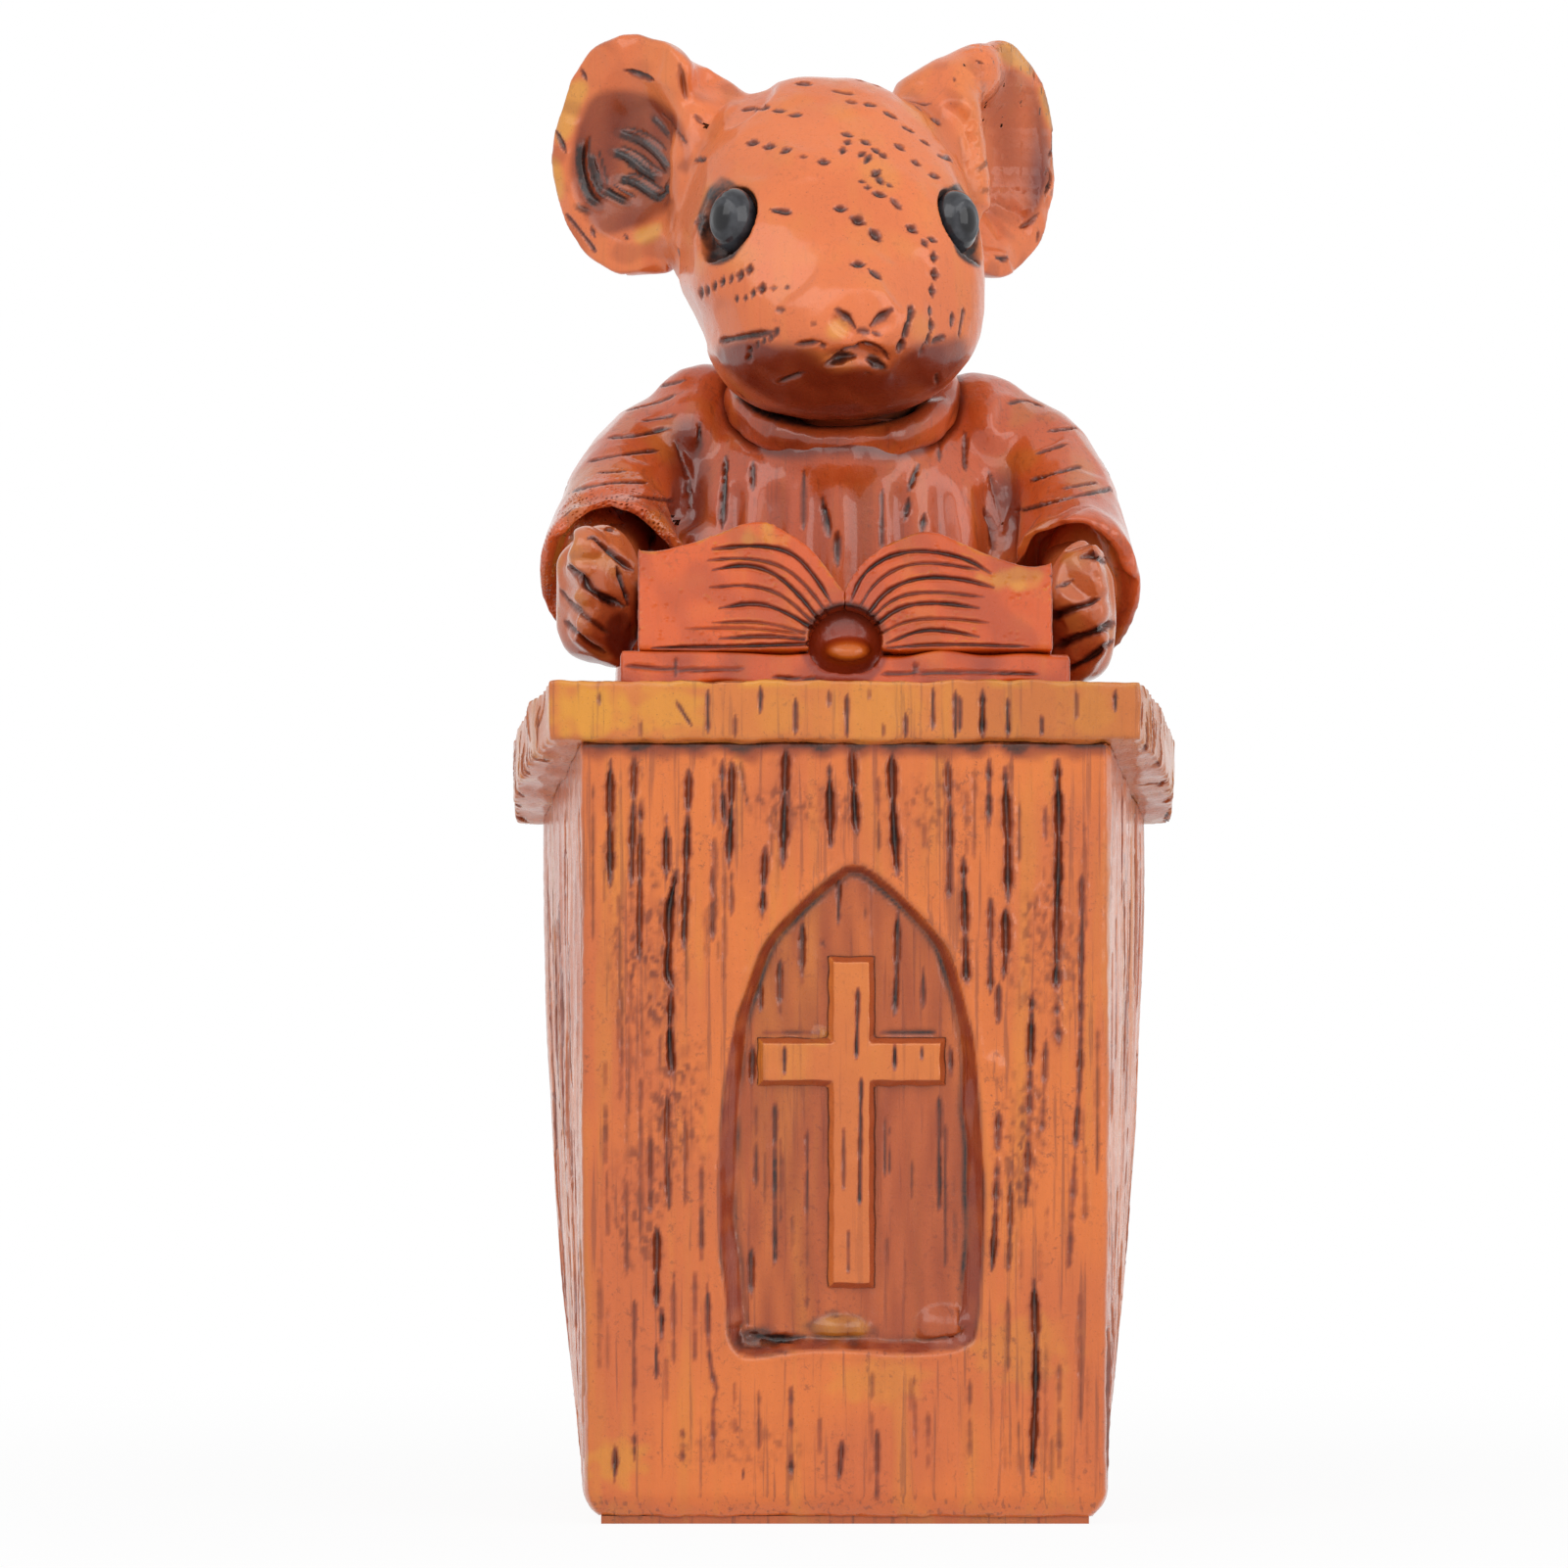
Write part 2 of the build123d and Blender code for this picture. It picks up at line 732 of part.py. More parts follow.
# Tail
def tail_shape(gap):
    """Tail that leaves the robe from its plug, drops down the back and swings to one side."""
    line_y = robe_back_y + tail_radius - tail_sink
    plug = Vector(0, line_y - tail_bend_radius - tail_plug_length - gap, tail_root_height)
    bend = Vector(0, line_y - tail_bend_radius, tail_root_height)
    drop = Vector(0, line_y, tail_root_height - tail_bend_radius)
    tip = Vector(-tail_swing, line_y, base_thickness + tail_tip_height)
    with BuildPart() as body:
        with BuildLine():
            Line(plug, bend)
            TangentArc(bend, drop, tangent=(0, 1, 0))
            TangentArc(drop, tip, tangent=(0, 0, -1))
        with BuildSketch(Plane(origin=plug, z_dir=(0, 1, 0))):
            Circle(tail_radius + gap)
        sweep()
    return body.part


with BuildPart() as tail:
    add(tail_shape(0))

# Robe with everything that is let into it
with BuildPart() as robe_body:
    add(robe_shape.part)
    robe_front = Plane(origin=(0, pulpit_back_y, 0), x_dir=(1, 0, 0), z_dir=(0, 1, 0))
    split(bisect_by=robe_front, keep=Keep.TOP)
    add(desk_top.part, mode=Mode.SUBTRACT)
    neck_floor = neck_plane.offset(-neck_socket_depth - fit_gap)
    add(rod(neck_floor, neck_radius + fit_gap, robe_height), mode=Mode.SUBTRACT)
    add(tail_shape(fit_gap), mode=Mode.SUBTRACT)
    add(skull.part, mode=Mode.SUBTRACT)
    for side, drop in ((-1, arm_drop), (1, sleeve_right_total_drop)):
        add(wrist(side, drop, fit_gap), mode=Mode.SUBTRACT)
    for turn_share in fold_turn_shares:
        add(fold(turn_share * pi), mode=Mode.SUBTRACT)

# Base plate under the pulpit and the robe
with BuildPart() as base_plate:
    plate_front = pulpit_front_width / 2 - pulpit_foot_inset - base_inset
    plate_back = pulpit_foot_width / 2 - pulpit_foot_inset - base_inset
    with BuildSketch():
        with BuildLine():
            Polyline(
                (-plate_front, pulpit_front_y + pulpit_foot_inset + base_inset),
                (plate_front, pulpit_front_y + pulpit_foot_inset + base_inset),
                (plate_back, robe_middle_y),
                (-plate_back, robe_middle_y),
                close=True,
            )
        make_face()
    extrude(amount=base_thickness)
    robe_foot = Plane(origin=(0, robe_middle_y, 0))
    half_depth = robe_depth / 2 - base_inset
    add(smooth_face(robe_foot, robe_width / 2 - base_inset, half_depth, half_depth, robe_square_share))
    extrude(amount=base_thickness)

pieces = {
    "base_plate": base_plate,
    "pulpit_body": pulpit_body,
    "niche_cross": niche_cross,
    "desk_top": desk_top,
    "book_cover": book_cover,
    "book_pages_left": book_pages_left,
    "book_pages_right": book_pages_right,
    "robe_body": robe_body,
    "collar": collar,
    "sleeve_left": sleeve_left,
    "sleeve_right": sleeve_right,
    "hand_left": hand_left,
    "hand_right": hand_right,
    "head": head,
    "ear_left": ear_left,
    "ear_right": ear_right,
    "eye_left": eye_left,
    "eye_right": eye_right,
    "tail": tail,
}
for name, piece in pieces.items():
    piece.part.label = name
    export_step(piece.part, f"parts/{name}.step")
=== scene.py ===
"""Looks of the robed mouse at its pulpit.

The ornament is cast in resin from a carving, then stained and lacquered. Every CAD node gets a carved and
stained piece in its place, but for the base plate, which keeps its CAD mesh.

The tables and sizes are in millimetres, and the studio's places are in metres. The front faces -Y, and left
and right are as seen from the front.
"""

from math import ceil, cos, pi, radians, sin

import bmesh
import bpy
import numpy as np
from mathutils import Matrix, Vector
from mathutils.bvhtree import BVHTree


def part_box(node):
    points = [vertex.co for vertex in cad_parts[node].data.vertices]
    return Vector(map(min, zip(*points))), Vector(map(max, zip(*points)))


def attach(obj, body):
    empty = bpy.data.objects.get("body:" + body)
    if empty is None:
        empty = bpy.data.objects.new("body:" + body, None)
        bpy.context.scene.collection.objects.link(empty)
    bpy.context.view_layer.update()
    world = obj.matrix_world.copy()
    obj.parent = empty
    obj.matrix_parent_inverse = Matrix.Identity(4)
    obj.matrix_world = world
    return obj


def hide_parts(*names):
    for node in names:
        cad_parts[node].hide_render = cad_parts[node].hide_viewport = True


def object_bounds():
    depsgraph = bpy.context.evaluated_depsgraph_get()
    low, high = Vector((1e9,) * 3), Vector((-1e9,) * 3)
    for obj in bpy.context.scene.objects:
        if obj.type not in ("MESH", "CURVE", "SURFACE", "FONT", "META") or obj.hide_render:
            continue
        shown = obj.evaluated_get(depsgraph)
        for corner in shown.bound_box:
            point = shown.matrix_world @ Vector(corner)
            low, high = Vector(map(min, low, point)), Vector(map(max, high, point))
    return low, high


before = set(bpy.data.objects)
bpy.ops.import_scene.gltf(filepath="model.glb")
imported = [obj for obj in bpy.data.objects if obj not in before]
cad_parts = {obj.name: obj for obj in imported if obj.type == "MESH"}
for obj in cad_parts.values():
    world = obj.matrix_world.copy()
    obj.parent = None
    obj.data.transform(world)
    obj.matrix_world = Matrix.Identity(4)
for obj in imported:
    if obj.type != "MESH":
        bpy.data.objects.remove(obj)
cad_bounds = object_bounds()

metre = 1000.0

# Level camera, a little below the pulpit's top
eye_place = Vector((-3.83, -621.3, 46.4))
lens_length = 220.0
sensor_width = 36.0
nearest_seen = 10.0

# Distance from the camera at which a sight line starts when it looks back at the figurine
beyond_figurine = 720

# Plane that the front-view tables are drawn on, which is the pulpit's front
front_plane = -21.325

# Steps of a path laid on a surface, and the gap that a path may jump
trace_step = 0.35
shortest_step = 0.05
longest_step = 2.5

# Niche in the pulpit's front: outline from its lower left corner, clockwise, then its depth and walls
niche_outline = [
    (-7.3, 10.7), (-7.6, 14.9), (-8.0, 17.6), (-8.0, 23.6), (-7.6, 28.0), (-7.1, 31.1), (-5.9, 34.6),
    (-5.0, 36.8), (-2.9, 39.0), (-1.1, 40.5), (0.7, 41.8), (3.5, 39.6), (5.3, 37.6), (6.6, 36.0), (7.5, 33.0),
    (8.2, 30.2), (8.5, 26.0), (8.8, 21.4), (8.7, 17.0), (8.4, 12.7), (8.0, 11.0), (4.0, 10.6), (0.0, 11.0),
    (-3.0, 10.9), (-5.5, 10.4),
]
niche_depth = 1.0
niche_wall_low = 1.15
niche_wall_high = 0.6
niche_wall_foot = 0.8
niche_foot_height = 12.5

# Pulpit block: its foot, and the size of its grid
foot_inset = 0.9
foot_rise = 1.6
front_width = 33.0
front_column = 0.14
flank_column = 0.26
pulpit_row = 0.225

# How many loose marks the pulpit gets: on its front, on each flank, and specks of resin
front_nicks = 130
flank_cuts = 58
resin_specks = 60


# Tables of cuts
def cut_table(*rows):
    """Paths, widths and darkness, from rows of each corner's x and z, then the width and darkness."""
    return [(list(zip(row[:-2:2], row[1:-2:2])), *row[-2:]) for row in rows]


# Cuts down the pulpit's front
pulpit_cuts = cut_table(
    (-14.7, 47.9, -14.7, 40.0, 0.45, 0.75), (-13.2, 48.1, -13.4, 40.0, 0.4, 0.7),
    (-12.8, 45.4, -12.9, 35.3, 0.4, 0.6), (-11.2, 44.6, -11.2, 40.5, 0.42, 1),
    (-10.6, 40.9, -10.9, 39.3, -11.1, 38.0, -11.0, 36.6, -11.2, 34.7, -10.8, 33.6, 0.55, 1),
    (-10.9, 33.4, -11.0, 30.5, -10.8, 28.0, 0.45, 0.9), (-11.1, 27.4, -11.2, 23.1, -11.0, 19.7, 0.35, 0.6),
    (-9.8, 47.3, -9.9, 42.7, -10.1, 36.1, 0.42, 0.8), (-8.2, 48.4, -8.2, 43.6, 0.25, 0.4),
    (-7.7, 47.9, -7.7, 45.9, -7.5, 43.8, 0.35, 0.8), (-7.1, 47.8, -7.2, 43.6, -7.3, 41.2, 0.42, 0.95),
    (-7.1, 41.0, -7.1, 38.2, 0.25, 0.5), (-6.6, 47.8, -6.1, 45.0, 0.25, 0.4),
    (-8.3, 41.2, -8.3, 36.6, 0.3, 0.6), (-3.7, 48.8, -3.9, 41.2, 0.48, 1),
    (-5.0, 42.4, -5.2, 38.1, 0.42, 0.95), (-1.0, 47.7, -0.9, 42.4, 0.5, 1), (0.4, 48.6, 0.7, 43.3, 0.5, 1),
    (2.9, 48.4, 3.0, 44.3, 3.3, 40.7, 0.5, 0.95), (6.4, 47.8, 6.6, 44.1, 6.5, 39.2, 0.35, 0.7),
    (7.6, 46.0, 7.6, 41.7, 0.2, 0.4), (7.4, 41.8, 7.5, 37.8, 7.6, 33.6, 0.45, 1),
    (9.0, 47.9, 9.0, 43.9, 0.35, 0.8), (10.0, 47.4, 10.2, 42.9, 10.2, 39.0, 0.5, 0.8),
    (10.0, 39.0, 10.1, 36.0, 9.9, 34.2, 0.5, 1), (9.1, 39.7, 9.1, 33.3, 0.32, 0.7),
    (13.3, 47.9, 13.4, 42.9, 13.3, 38.7, 13.2, 33.3, 0.5, 1), (13.2, 33.0, 13.4, 29.9, 0.48, 1),
    (14.8, 40.8, 14.8, 34.1, 14.7, 28.0, 14.4, 23.7, 14.0, 15.9, 0.3, 0.7), (9.6, 34.1, 9.6, 31.3, 0.3, 0.8),
    (11.7, 33.3, 11.5, 24.5, 11.3, 20.0, 0.42, 0.95), (12.6, 31.2, 12.3, 24.4, 0.3, 0.6),
    (9.6, 26.0, 9.4, 19.5, 9.2, 15.9, 0.38, 0.9), (10.2, 22.2, 10.4, 20.3, 10.2, 15.9, 0.3, 0.6),
    (15.0, 23.8, 15.0, 18.9, 0.25, 0.4), (-11.8, 18.8, -11.8, 13.6, 0.42, 0.9),
    (-11.5, 13.5, -11.5, 11.6, 0.4, 1), (-11.8, 11.3, -11.8, 9.2, 0.28, 0.8),
    (-13.2, 14.1, -13.2, 6.2, 0.2, 0.6), (-13.2, 5.8, -13.2, 4.1, 0.4, 0.9),
    (-14.4, 4.9, -14.4, 2.7, 0.36, 0.9), (-10.2, 6.3, -10.2, 3.8, 0.34, 0.7),
    (-9.4, 16.3, -9.4, 10.3, 0.22, 0.6),
    (-8.6, 15.1, -8.6, 11.4, -8.3, 9.2, -8.0, 8.5, -8.3, 7.6, -8.2, 3.8, 0.26, 0.8),
    (-3.4, 8.7, -3.4, 5.9, 0.26, 0.7), (-3.4, 4.3, -3.4, 2.8, 0.4, 0.8), (-6.4, 3.5, -6.4, 2.8, 0.25, 0.7),
    (-0.2, 5.3, -0.4, 2.7, 0.3, 0.8), (11.8, 15.4, 12.0, 9.6, 11.7, 3.2, 0.45, 0.95),
    (-15.0, 29.2, -15.0, 22.5, 0.22, 0.5), (-14.0, 33.5, -14.0, 26.8, 0.22, 0.5),
    (-12.8, 28.0, -12.8, 18.2, 0.24, 0.5), (-10.0, 26.2, -10.0, 20.0, 0.22, 0.5),
    (-9.0, 22.5, -9.0, 16.3, 0.24, 0.6), (-13.7, 21.6, -13.7, 15.7, 0.22, 0.5),
    (10.2, 14.5, 10.2, 9.6, 0.22, 0.5), (13.4, 10.2, 13.4, 3.5, 0.24, 0.5), (2.0, 6.2, 2.0, 1.0, 0.26, 0.6),
    (5.2, 7.1, 5.2, 3.5, 0.24, 0.5), (7.8, 9.0, 7.8, 4.1, 0.24, 0.5), (14.7, 14.5, 14.7, 6.5, 0.22, 0.4),
    (-15.4, 16.3, -15.4, 9.6, 0.2, 0.4), (-5.4, 8.4, -5.4, 4.7, 0.22, 0.5), (4.1, 9.6, 4.1, 7.1, 0.2, 0.4),
    (10.9, 45.2, 10.9, 41.5, 0.2, 0.4), (1.7, 9.6, 1.7, 7.8, 0.2, 0.4), (-12.2, 24.9, -12.2, 19.4, 0.3, 0.6),
    (15.8, 31.1, 15.8, 21.9, 0.2, 0.4), (-15.8, 46.4, -15.8, 36.6, 0.2, 0.35),
)

# Brownish and yellow regions of the pulpit's front: middle, reach, amount
pulpit_smoke = [
    ((-12.5, 35.0), (3.0, 7.0), 0.5), ((-10.5, 26.0), (2.5, 6.0), 0.45), ((-13.0, 20.0), (2.5, 5.0), 0.4),
    ((12.5, 36.0), (3.0, 6.0), 0.35), ((11.0, 24.0), (2.0, 6.0), 0.45), ((-3.0, 45.0), (5.0, 2.0), 0.4),
    ((6.0, 45.0), (4.0, 2.5), 0.35), ((-6.0, 5.0), (5.0, 2.0), 0.25),
]
pulpit_gold = [
    ((-14.5, 4.0), (2.5, 2.0), 0.7), ((11.0, 11.0), (4.0, 3.0), 0.4), ((2.2, 9.0), (4.0, 2.0), 0.45),
]

# Yellow runs along the desk's front: place, reach, amount
desk_gold = [
    (-16.0, 3.6, 0.95), (-11.0, 3.0, 0.7), (2.5, 3.0, 0.4), (15.5, 2.0, 0.4), (-4.0, 2.0, 0.3),
]

# Cuts on the niche's floor; the first four are painted shadow lines laid as cuts along the tops and ends of
# the cross's arms
niche_cuts = cut_table(
    (-5.4, 30.75, -3.4, 30.85, -1.7, 30.8, 0.24, 0.7), (2.3, 30.8, 4.2, 30.75, 5.9, 30.85, 0.34, 1),
    (-5.8, 30.2, -5.85, 27.4, 0.45, 1), (6.6, 30.0, 6.65, 27.6, 0.34, 0.85),
    (-1.6, 36.6, -1.2, 36.2, 0.5, 0.8), (-6.6, 12.0, -4.6, 11.5, -2.6, 11.7, 0.7, 0.85),
    (-0.4, 40.6, -0.4, 37.6, 0.36, 0.8), (-2.7, 38.2, -2.7, 33.7, 0.45, 0.8),
    (-4.1, 35.7, -4.1, 31.5, 0.42, 0.8), (-5.3, 33.9, -5.3, 31.9, 0.3, 0.7),
    (3.3, 38.5, 3.3, 35.4, 3.1, 31.9, 0.45, 0.95), (4.9, 35.0, 4.9, 32.3, 0.3, 0.7),
    (-5.6, 26.5, -5.6, 21.0, 0.28, 0.6), (-4.4, 26.5, -4.4, 16.2, 0.3, 0.8),
    (-4.0, 24.3, -4.0, 18.8, 0.2, 0.6), (-2.4, 24.7, -2.4, 13.3, 0.24, 0.6),
    (-5.9, 17.5, -5.9, 14.2, 0.4, 0.9), (2.5, 25.5, 2.5, 21.8, 0.2, 0.6), (2.8, 25.2, 2.8, 21.9, 0.2, 0.6),
    (2.6, 18.1, 2.6, 16.0, 0.2, 0.5), (4.2, 22.8, 4.2, 20.0, 0.2, 0.6), (5.9, 27.1, 5.9, 19.5, 0.32, 0.9),
    (6.3, 25.1, 6.3, 15.9, 0.22, 0.6), (3.8, 17.0, 3.8, 12.7, 0.2, 0.5), (1.3, 40.3, 1.3, 37.8, 0.2, 0.5),
    (-3.3, 19.4, -3.3, 13.9, 0.2, 0.5), (-5.0, 25.5, -5.0, 20.0, 0.2, 0.5),
    (-1.5, 13.9, -1.5, 13.0, 0.2, 0.4), (6.9, 21.9, 6.9, 16.3, 0.2, 0.5),
)

# Cuts on the cross's face
cross_cuts = cut_table(
    (0.8, 33.6, 0.7, 29.2, 0.26, 0.8), (1.0, 28.0, 0.9, 20.0, 0.24, 0.8), (3.1, 30.1, 3.1, 28.5, 0.3, 0.9),
    (-3.8, 30.0, -3.8, 28.1, 0.22, 0.7), (-0.1, 24.9, -0.1, 20.9, 0.2, 0.5), (4.8, 30.0, 4.8, 29.0, 0.2, 0.6),
    (0.2, 18.5, 0.2, 15.7, 0.18, 0.5),
)

# Cuts down the desk's front edge
desk_cuts = cut_table(
    (-15.4, 52.2, -15.4, 51.3, 0.22, 0.5), (-10.6, 51.6, -9.6, 50.0, 0.24, 0.7),
    (-8.6, 52.3, -8.6, 49.6, 0.24, 0.8), (-5.3, 52.5, -5.3, 50.8, 0.3, 0.9),
    (-3.1, 51.8, -3.1, 49.5, 0.26, 0.8), (-1.0, 52.3, -1.0, 51.2, 0.22, 0.6),
    (0.1, 52.0, 0.1, 49.3, 0.26, 0.8), (1.5, 52.5, 1.5, 51.6, 0.2, 0.5), (3.8, 50.8, 3.8, 49.3, 0.24, 0.8),
    (5.5, 52.4, 5.5, 49.8, 0.24, 0.7), (6.9, 52.2, 6.9, 49.3, 0.28, 0.9), (7.2, 51.9, 7.2, 49.6, 0.24, 0.8),
    (8.6, 52.3, 8.6, 49.3, 0.42, 1), (10.2, 51.8, 10.2, 49.3, 0.28, 0.9), (12.3, 50.7, 12.3, 49.3, 0.24, 0.8),
    (14.5, 52.3, 14.5, 50.4, 0.2, 0.6), (16.9, 52.3, 16.9, 50.9, 0.3, 0.9),
    (-12.8, 50.4, -12.8, 49.3, 0.2, 0.5), (-6.9, 50.7, -6.9, 49.3, 0.2, 0.6),
    (2.4, 50.2, 2.4, 49.3, 0.2, 0.6),
)

# Fur dashes on the head
head_dashes = cut_table(
    (-3.05, 90.29, -2.16, 90.21, 0.34, 0.8), (0.68, 90.52, 1.25, 90.37, 0.3, 0.7),
    (1.73, 90.22, 2.29, 90.02, 0.3, 0.7), (2.92, 89.69, 3.61, 89.42, 0.32, 0.8),
    (4.18, 88.96, 4.73, 88.57, 0.34, 0.8), (5.33, 88.08, 5.97, 87.7, 0.3, 0.7),
    (1.19, 88.99, 1.93, 88.87, 0.36, 0.9), (2.44, 88.51, 3.21, 88.07, 0.38, 0.9),
    (3.58, 87.59, 4.3, 87.21, 0.34, 0.9), (4.69, 86.75, 5.27, 86.41, 0.34, 0.8),
    (5.82, 85.75, 6.67, 85.48, 0.34, 0.9), (-6.46, 88.59, -5.58, 88.74, 0.28, 0.7),
    (-5.5, 88.7, -4.76, 88.77, 0.34, 0.9), (-4.53, 88.59, -3.79, 88.53, 0.34, 0.9),
    (-3.49, 88.26, -2.75, 88.32, 0.36, 0.9), (-0.81, 89.82, 0.51, 89.59, 0.26, 0.5),
    (0.04, 89.17, 0.7, 89.05, 0.26, 0.5), (-0.21, 87.15, 0.51, 86.96, 0.34, 0.9),
    (0.07, 86.45, 0.22, 86.71, 0.34, 0.9), (-0.18, 85.88, -0.12, 86.24, 0.34, 0.9),
    (3.14, 86.48, 3.69, 86.09, 0.32, 0.7), (4.19, 85.4, 4.66, 85.18, 0.34, 0.7),
    (5.28, 84.52, 5.87, 84.42, 0.32, 0.7), (-6.13, 86.55, -5.46, 86.55, 0.34, 0.8),
    (-5.09, 86.31, -4.42, 86.31, 0.34, 0.9), (-4.03, 85.95, -3.4, 86.18, 0.34, 0.9),
    (-1.67, 85.35, -1.0, 85.35, 0.34, 0.8), (-2.83, 85.69, -2.38, 85.69, 0.26, 0.5),
    (1.01, 86.73, 1.52, 86.43, 0.34, 0.8), (1.69, 86.23, 2.18, 85.89, 0.34, 0.8),
    (2.18, 85.93, 2.58, 85.6, 0.3, 0.7), (1.26, 85.28, 1.56, 85.8, 0.34, 0.8),
    (0.87, 85.7, 1.21, 85.98, 0.3, 0.8), (1.7, 84.46, 2.16, 84.84, 0.38, 1),
    (2.01, 84.46, 2.3, 83.95, 0.34, 0.8), (0.86, 84.16, 1.22, 84.1, 0.36, 1),
    (1.26, 83.76, 1.56, 83.76, 0.3, 0.9), (1.76, 83.42, 2.55, 83.21, 0.42, 1),
    (2.56, 84.02, 2.94, 83.79, 0.28, 0.6), (2.91, 83.06, 3.48, 82.38, 0.3, 0.6),
    (3.89, 81.35, 4.44, 80.96, 0.42, 1), (-0.67, 82.45, 0.07, 82.39, 0.42, 0.9),
    (0.42, 81.85, 1.16, 81.5, 0.48, 1), (1.6, 81.15, 2.11, 80.42, 0.42, 1),
    (-4.64, 82.38, -3.39, 82.16, 0.34, 1), (0.41, 78.93, 1.23, 78.93, 0.44, 0.9),
    (1.49, 78.64, 2.23, 78.02, 0.32, 0.8), (5.21, 80.58, 5.7, 80.4, 0.42, 0.9),
    (4.87, 80.46, 5.09, 80.07, 0.34, 0.8), (5.57, 79.08, 5.57, 79.67, 0.42, 0.9),
    (5.6, 78.03, 5.6, 78.63, 0.42, 0.9), (5.45, 76.99, 5.45, 77.59, 0.38, 0.9),
    (5.32, 75.69, 5.32, 76.36, 0.3, 0.8), (5.39, 74.76, 5.39, 75.51, 0.44, 1),
    (5.14, 73.88, 5.27, 74.61, 0.34, 0.9), (4.68, 73.23, 4.98, 74.07, 0.26, 0.6),
    (3.98, 75.15, 4.19, 76.32, 0.38, 0.95), (3.67, 74.26, 3.97, 75.41, 0.34, 0.9),
    (3.38, 73.44, 3.61, 74.3, 0.42, 1), (6.65, 74.99, 6.73, 75.88, 0.28, 0.7),
    (7.13, 74.41, 7.44, 76.16, 0.24, 0.6), (5.45, 74.09, 6.29, 74.4, 0.3, 0.8),
    (-6.04, 78.38, -5.95, 78.88, 0.38, 0.95), (-6.64, 77.98, -6.5, 78.53, 0.38, 0.95),
    (-7.21, 77.76, -7.06, 78.31, 0.3, 0.7), (-7.76, 77.57, -7.61, 78.14, 0.36, 0.95),
    (-8.25, 77.3, -8.1, 77.88, 0.36, 0.95), (-8.69, 77.04, -8.55, 77.54, 0.3, 0.8),
    (-9.07, 76.87, -8.92, 77.42, 0.34, 0.9), (-9.54, 76.43, -9.34, 76.96, 0.3, 0.9),
    (-5.25, 77.13, -5.15, 77.69, 0.42, 0.95), (-5.81, 76.89, -5.72, 77.4, 0.3, 0.9),
    (-6.27, 76.7, -6.22, 76.99, 0.24, 0.8), (-6.83, 76.55, -6.76, 76.99, 0.24, 0.8),
    (-4.61, 77.44, -4.31, 77.44, 0.24, 0.5), (-3.78, 77.51, -3.45, 77.51, 0.28, 0.7),
    (-4.74, 74.15, -4.63, 74.58, 0.28, 0.9), (-5.16, 73.9, -5.03, 74.38, 0.26, 0.9),
    (-5.58, 73.64, -5.45, 74.16, 0.26, 0.9), (-6.05, 73.32, -5.87, 73.83, 0.3, 0.9),
    (-6.15, 72.85, -5.89, 73.32, 0.28, 0.8), (-1.5, 74.03, -1.32, 73.72, 0.26, 0.8),
    (-4.38, 76.15, -3.8, 76.05, 0.22, 0.5), (-10.48, 79.0, -10.48, 79.89, 0.3, 0.7),
    (-4.41, 74.41, -4.21, 74.97, 0.26, 0.8), (-2.23, 75.21, -1.78, 75.21, 0.2, 0.4),
)

# Longer cuts on the head
head_cuts = cut_table(
    (-7.9, 74.1, -6.3, 74.4, -4.5, 74.7, 0.42, 1), (-3.1, 73.9, -1.6, 74.1, 0.34, 0.9),
    (-4.3, 71.5, -2.5, 72.2, 0.36, 1), (-9.4, 81.6, -8.7, 81.9, 0.5, 1), (-6.8, 71.0, -6.1, 70.4, 0.34, 0.8),
    (5.7, 72.2, 5.9, 71.0, 0.34, 0.8),
)

# Nostrils and the pit under the nose
nose_cuts = cut_table(
    (-0.5, 76.1, 0.1, 75.6, 0.6, 75.0, 0.62, 1), (2.9, 76.1, 2.2, 75.6, 1.6, 75.1, 0.55, 1),
    (0.9, 74.8, 1.4, 74.7, 0.6, 1), (1.7, 74.7, 2.2, 74.5, 0.35, 0.7),
)

# Parting of the lips, with a pit each side
mouth_cuts = cut_table(
    (-1.1, 72.7, -0.3, 73.1, 0.5, 73.2, 1.05, 1), (1.4, 73.0, 1.9, 72.7, 2.4, 72.5, 0.8, 1),
    (-1.0, 72.9, -0.1, 73.7, 1.1, 74.0, 2.2, 73.7, 2.7, 73.0, 0.34, 0.7), (1.2, 72.2, 1.7, 72.0, 0.3, 0.7),
)

# Lower lip and chin, in painted shade
chin_shade = [
    (-8.0, 73.9), (-7.1, 74.1), (-5.7, 74.3), (-4.5, 73.9), (-3.1, 73.9), (-1.8, 73.6), (-1.0, 72.7),
    (-0.4, 72.4), (1.0, 72.6), (2.3, 72.3), (3.0, 73.0), (4.4, 73.9), (5.8, 74.1), (7.5, 74.5), (7.8, 72.6),
    (6.1, 70.8), (3.8, 69.4), (1.0, 68.7), (-1.4, 69.0), (-4.2, 69.8), (-6.6, 71.4), (-8.2, 72.9),
]

# Pits of the lips
lip_left = [
    (-1.0, 72.7), (-0.7, 73.3), (-0.1, 73.5), (0.6, 73.4), (-0.2, 73.0), (-0.8, 72.5),
]

lip_right = [
    (1.3, 73.3), (1.8, 73.4), (2.4, 72.9), (2.7, 72.3), (2.0, 72.3), (1.5, 72.6),
]

# Yellow patch on the upper lip
snout_gold = [
    (-1.1, 75.2), (-0.3, 75.7), (0.3, 75.3), (0.2, 74.5), (-0.7, 74.1), (-1.2, 74.5),
]

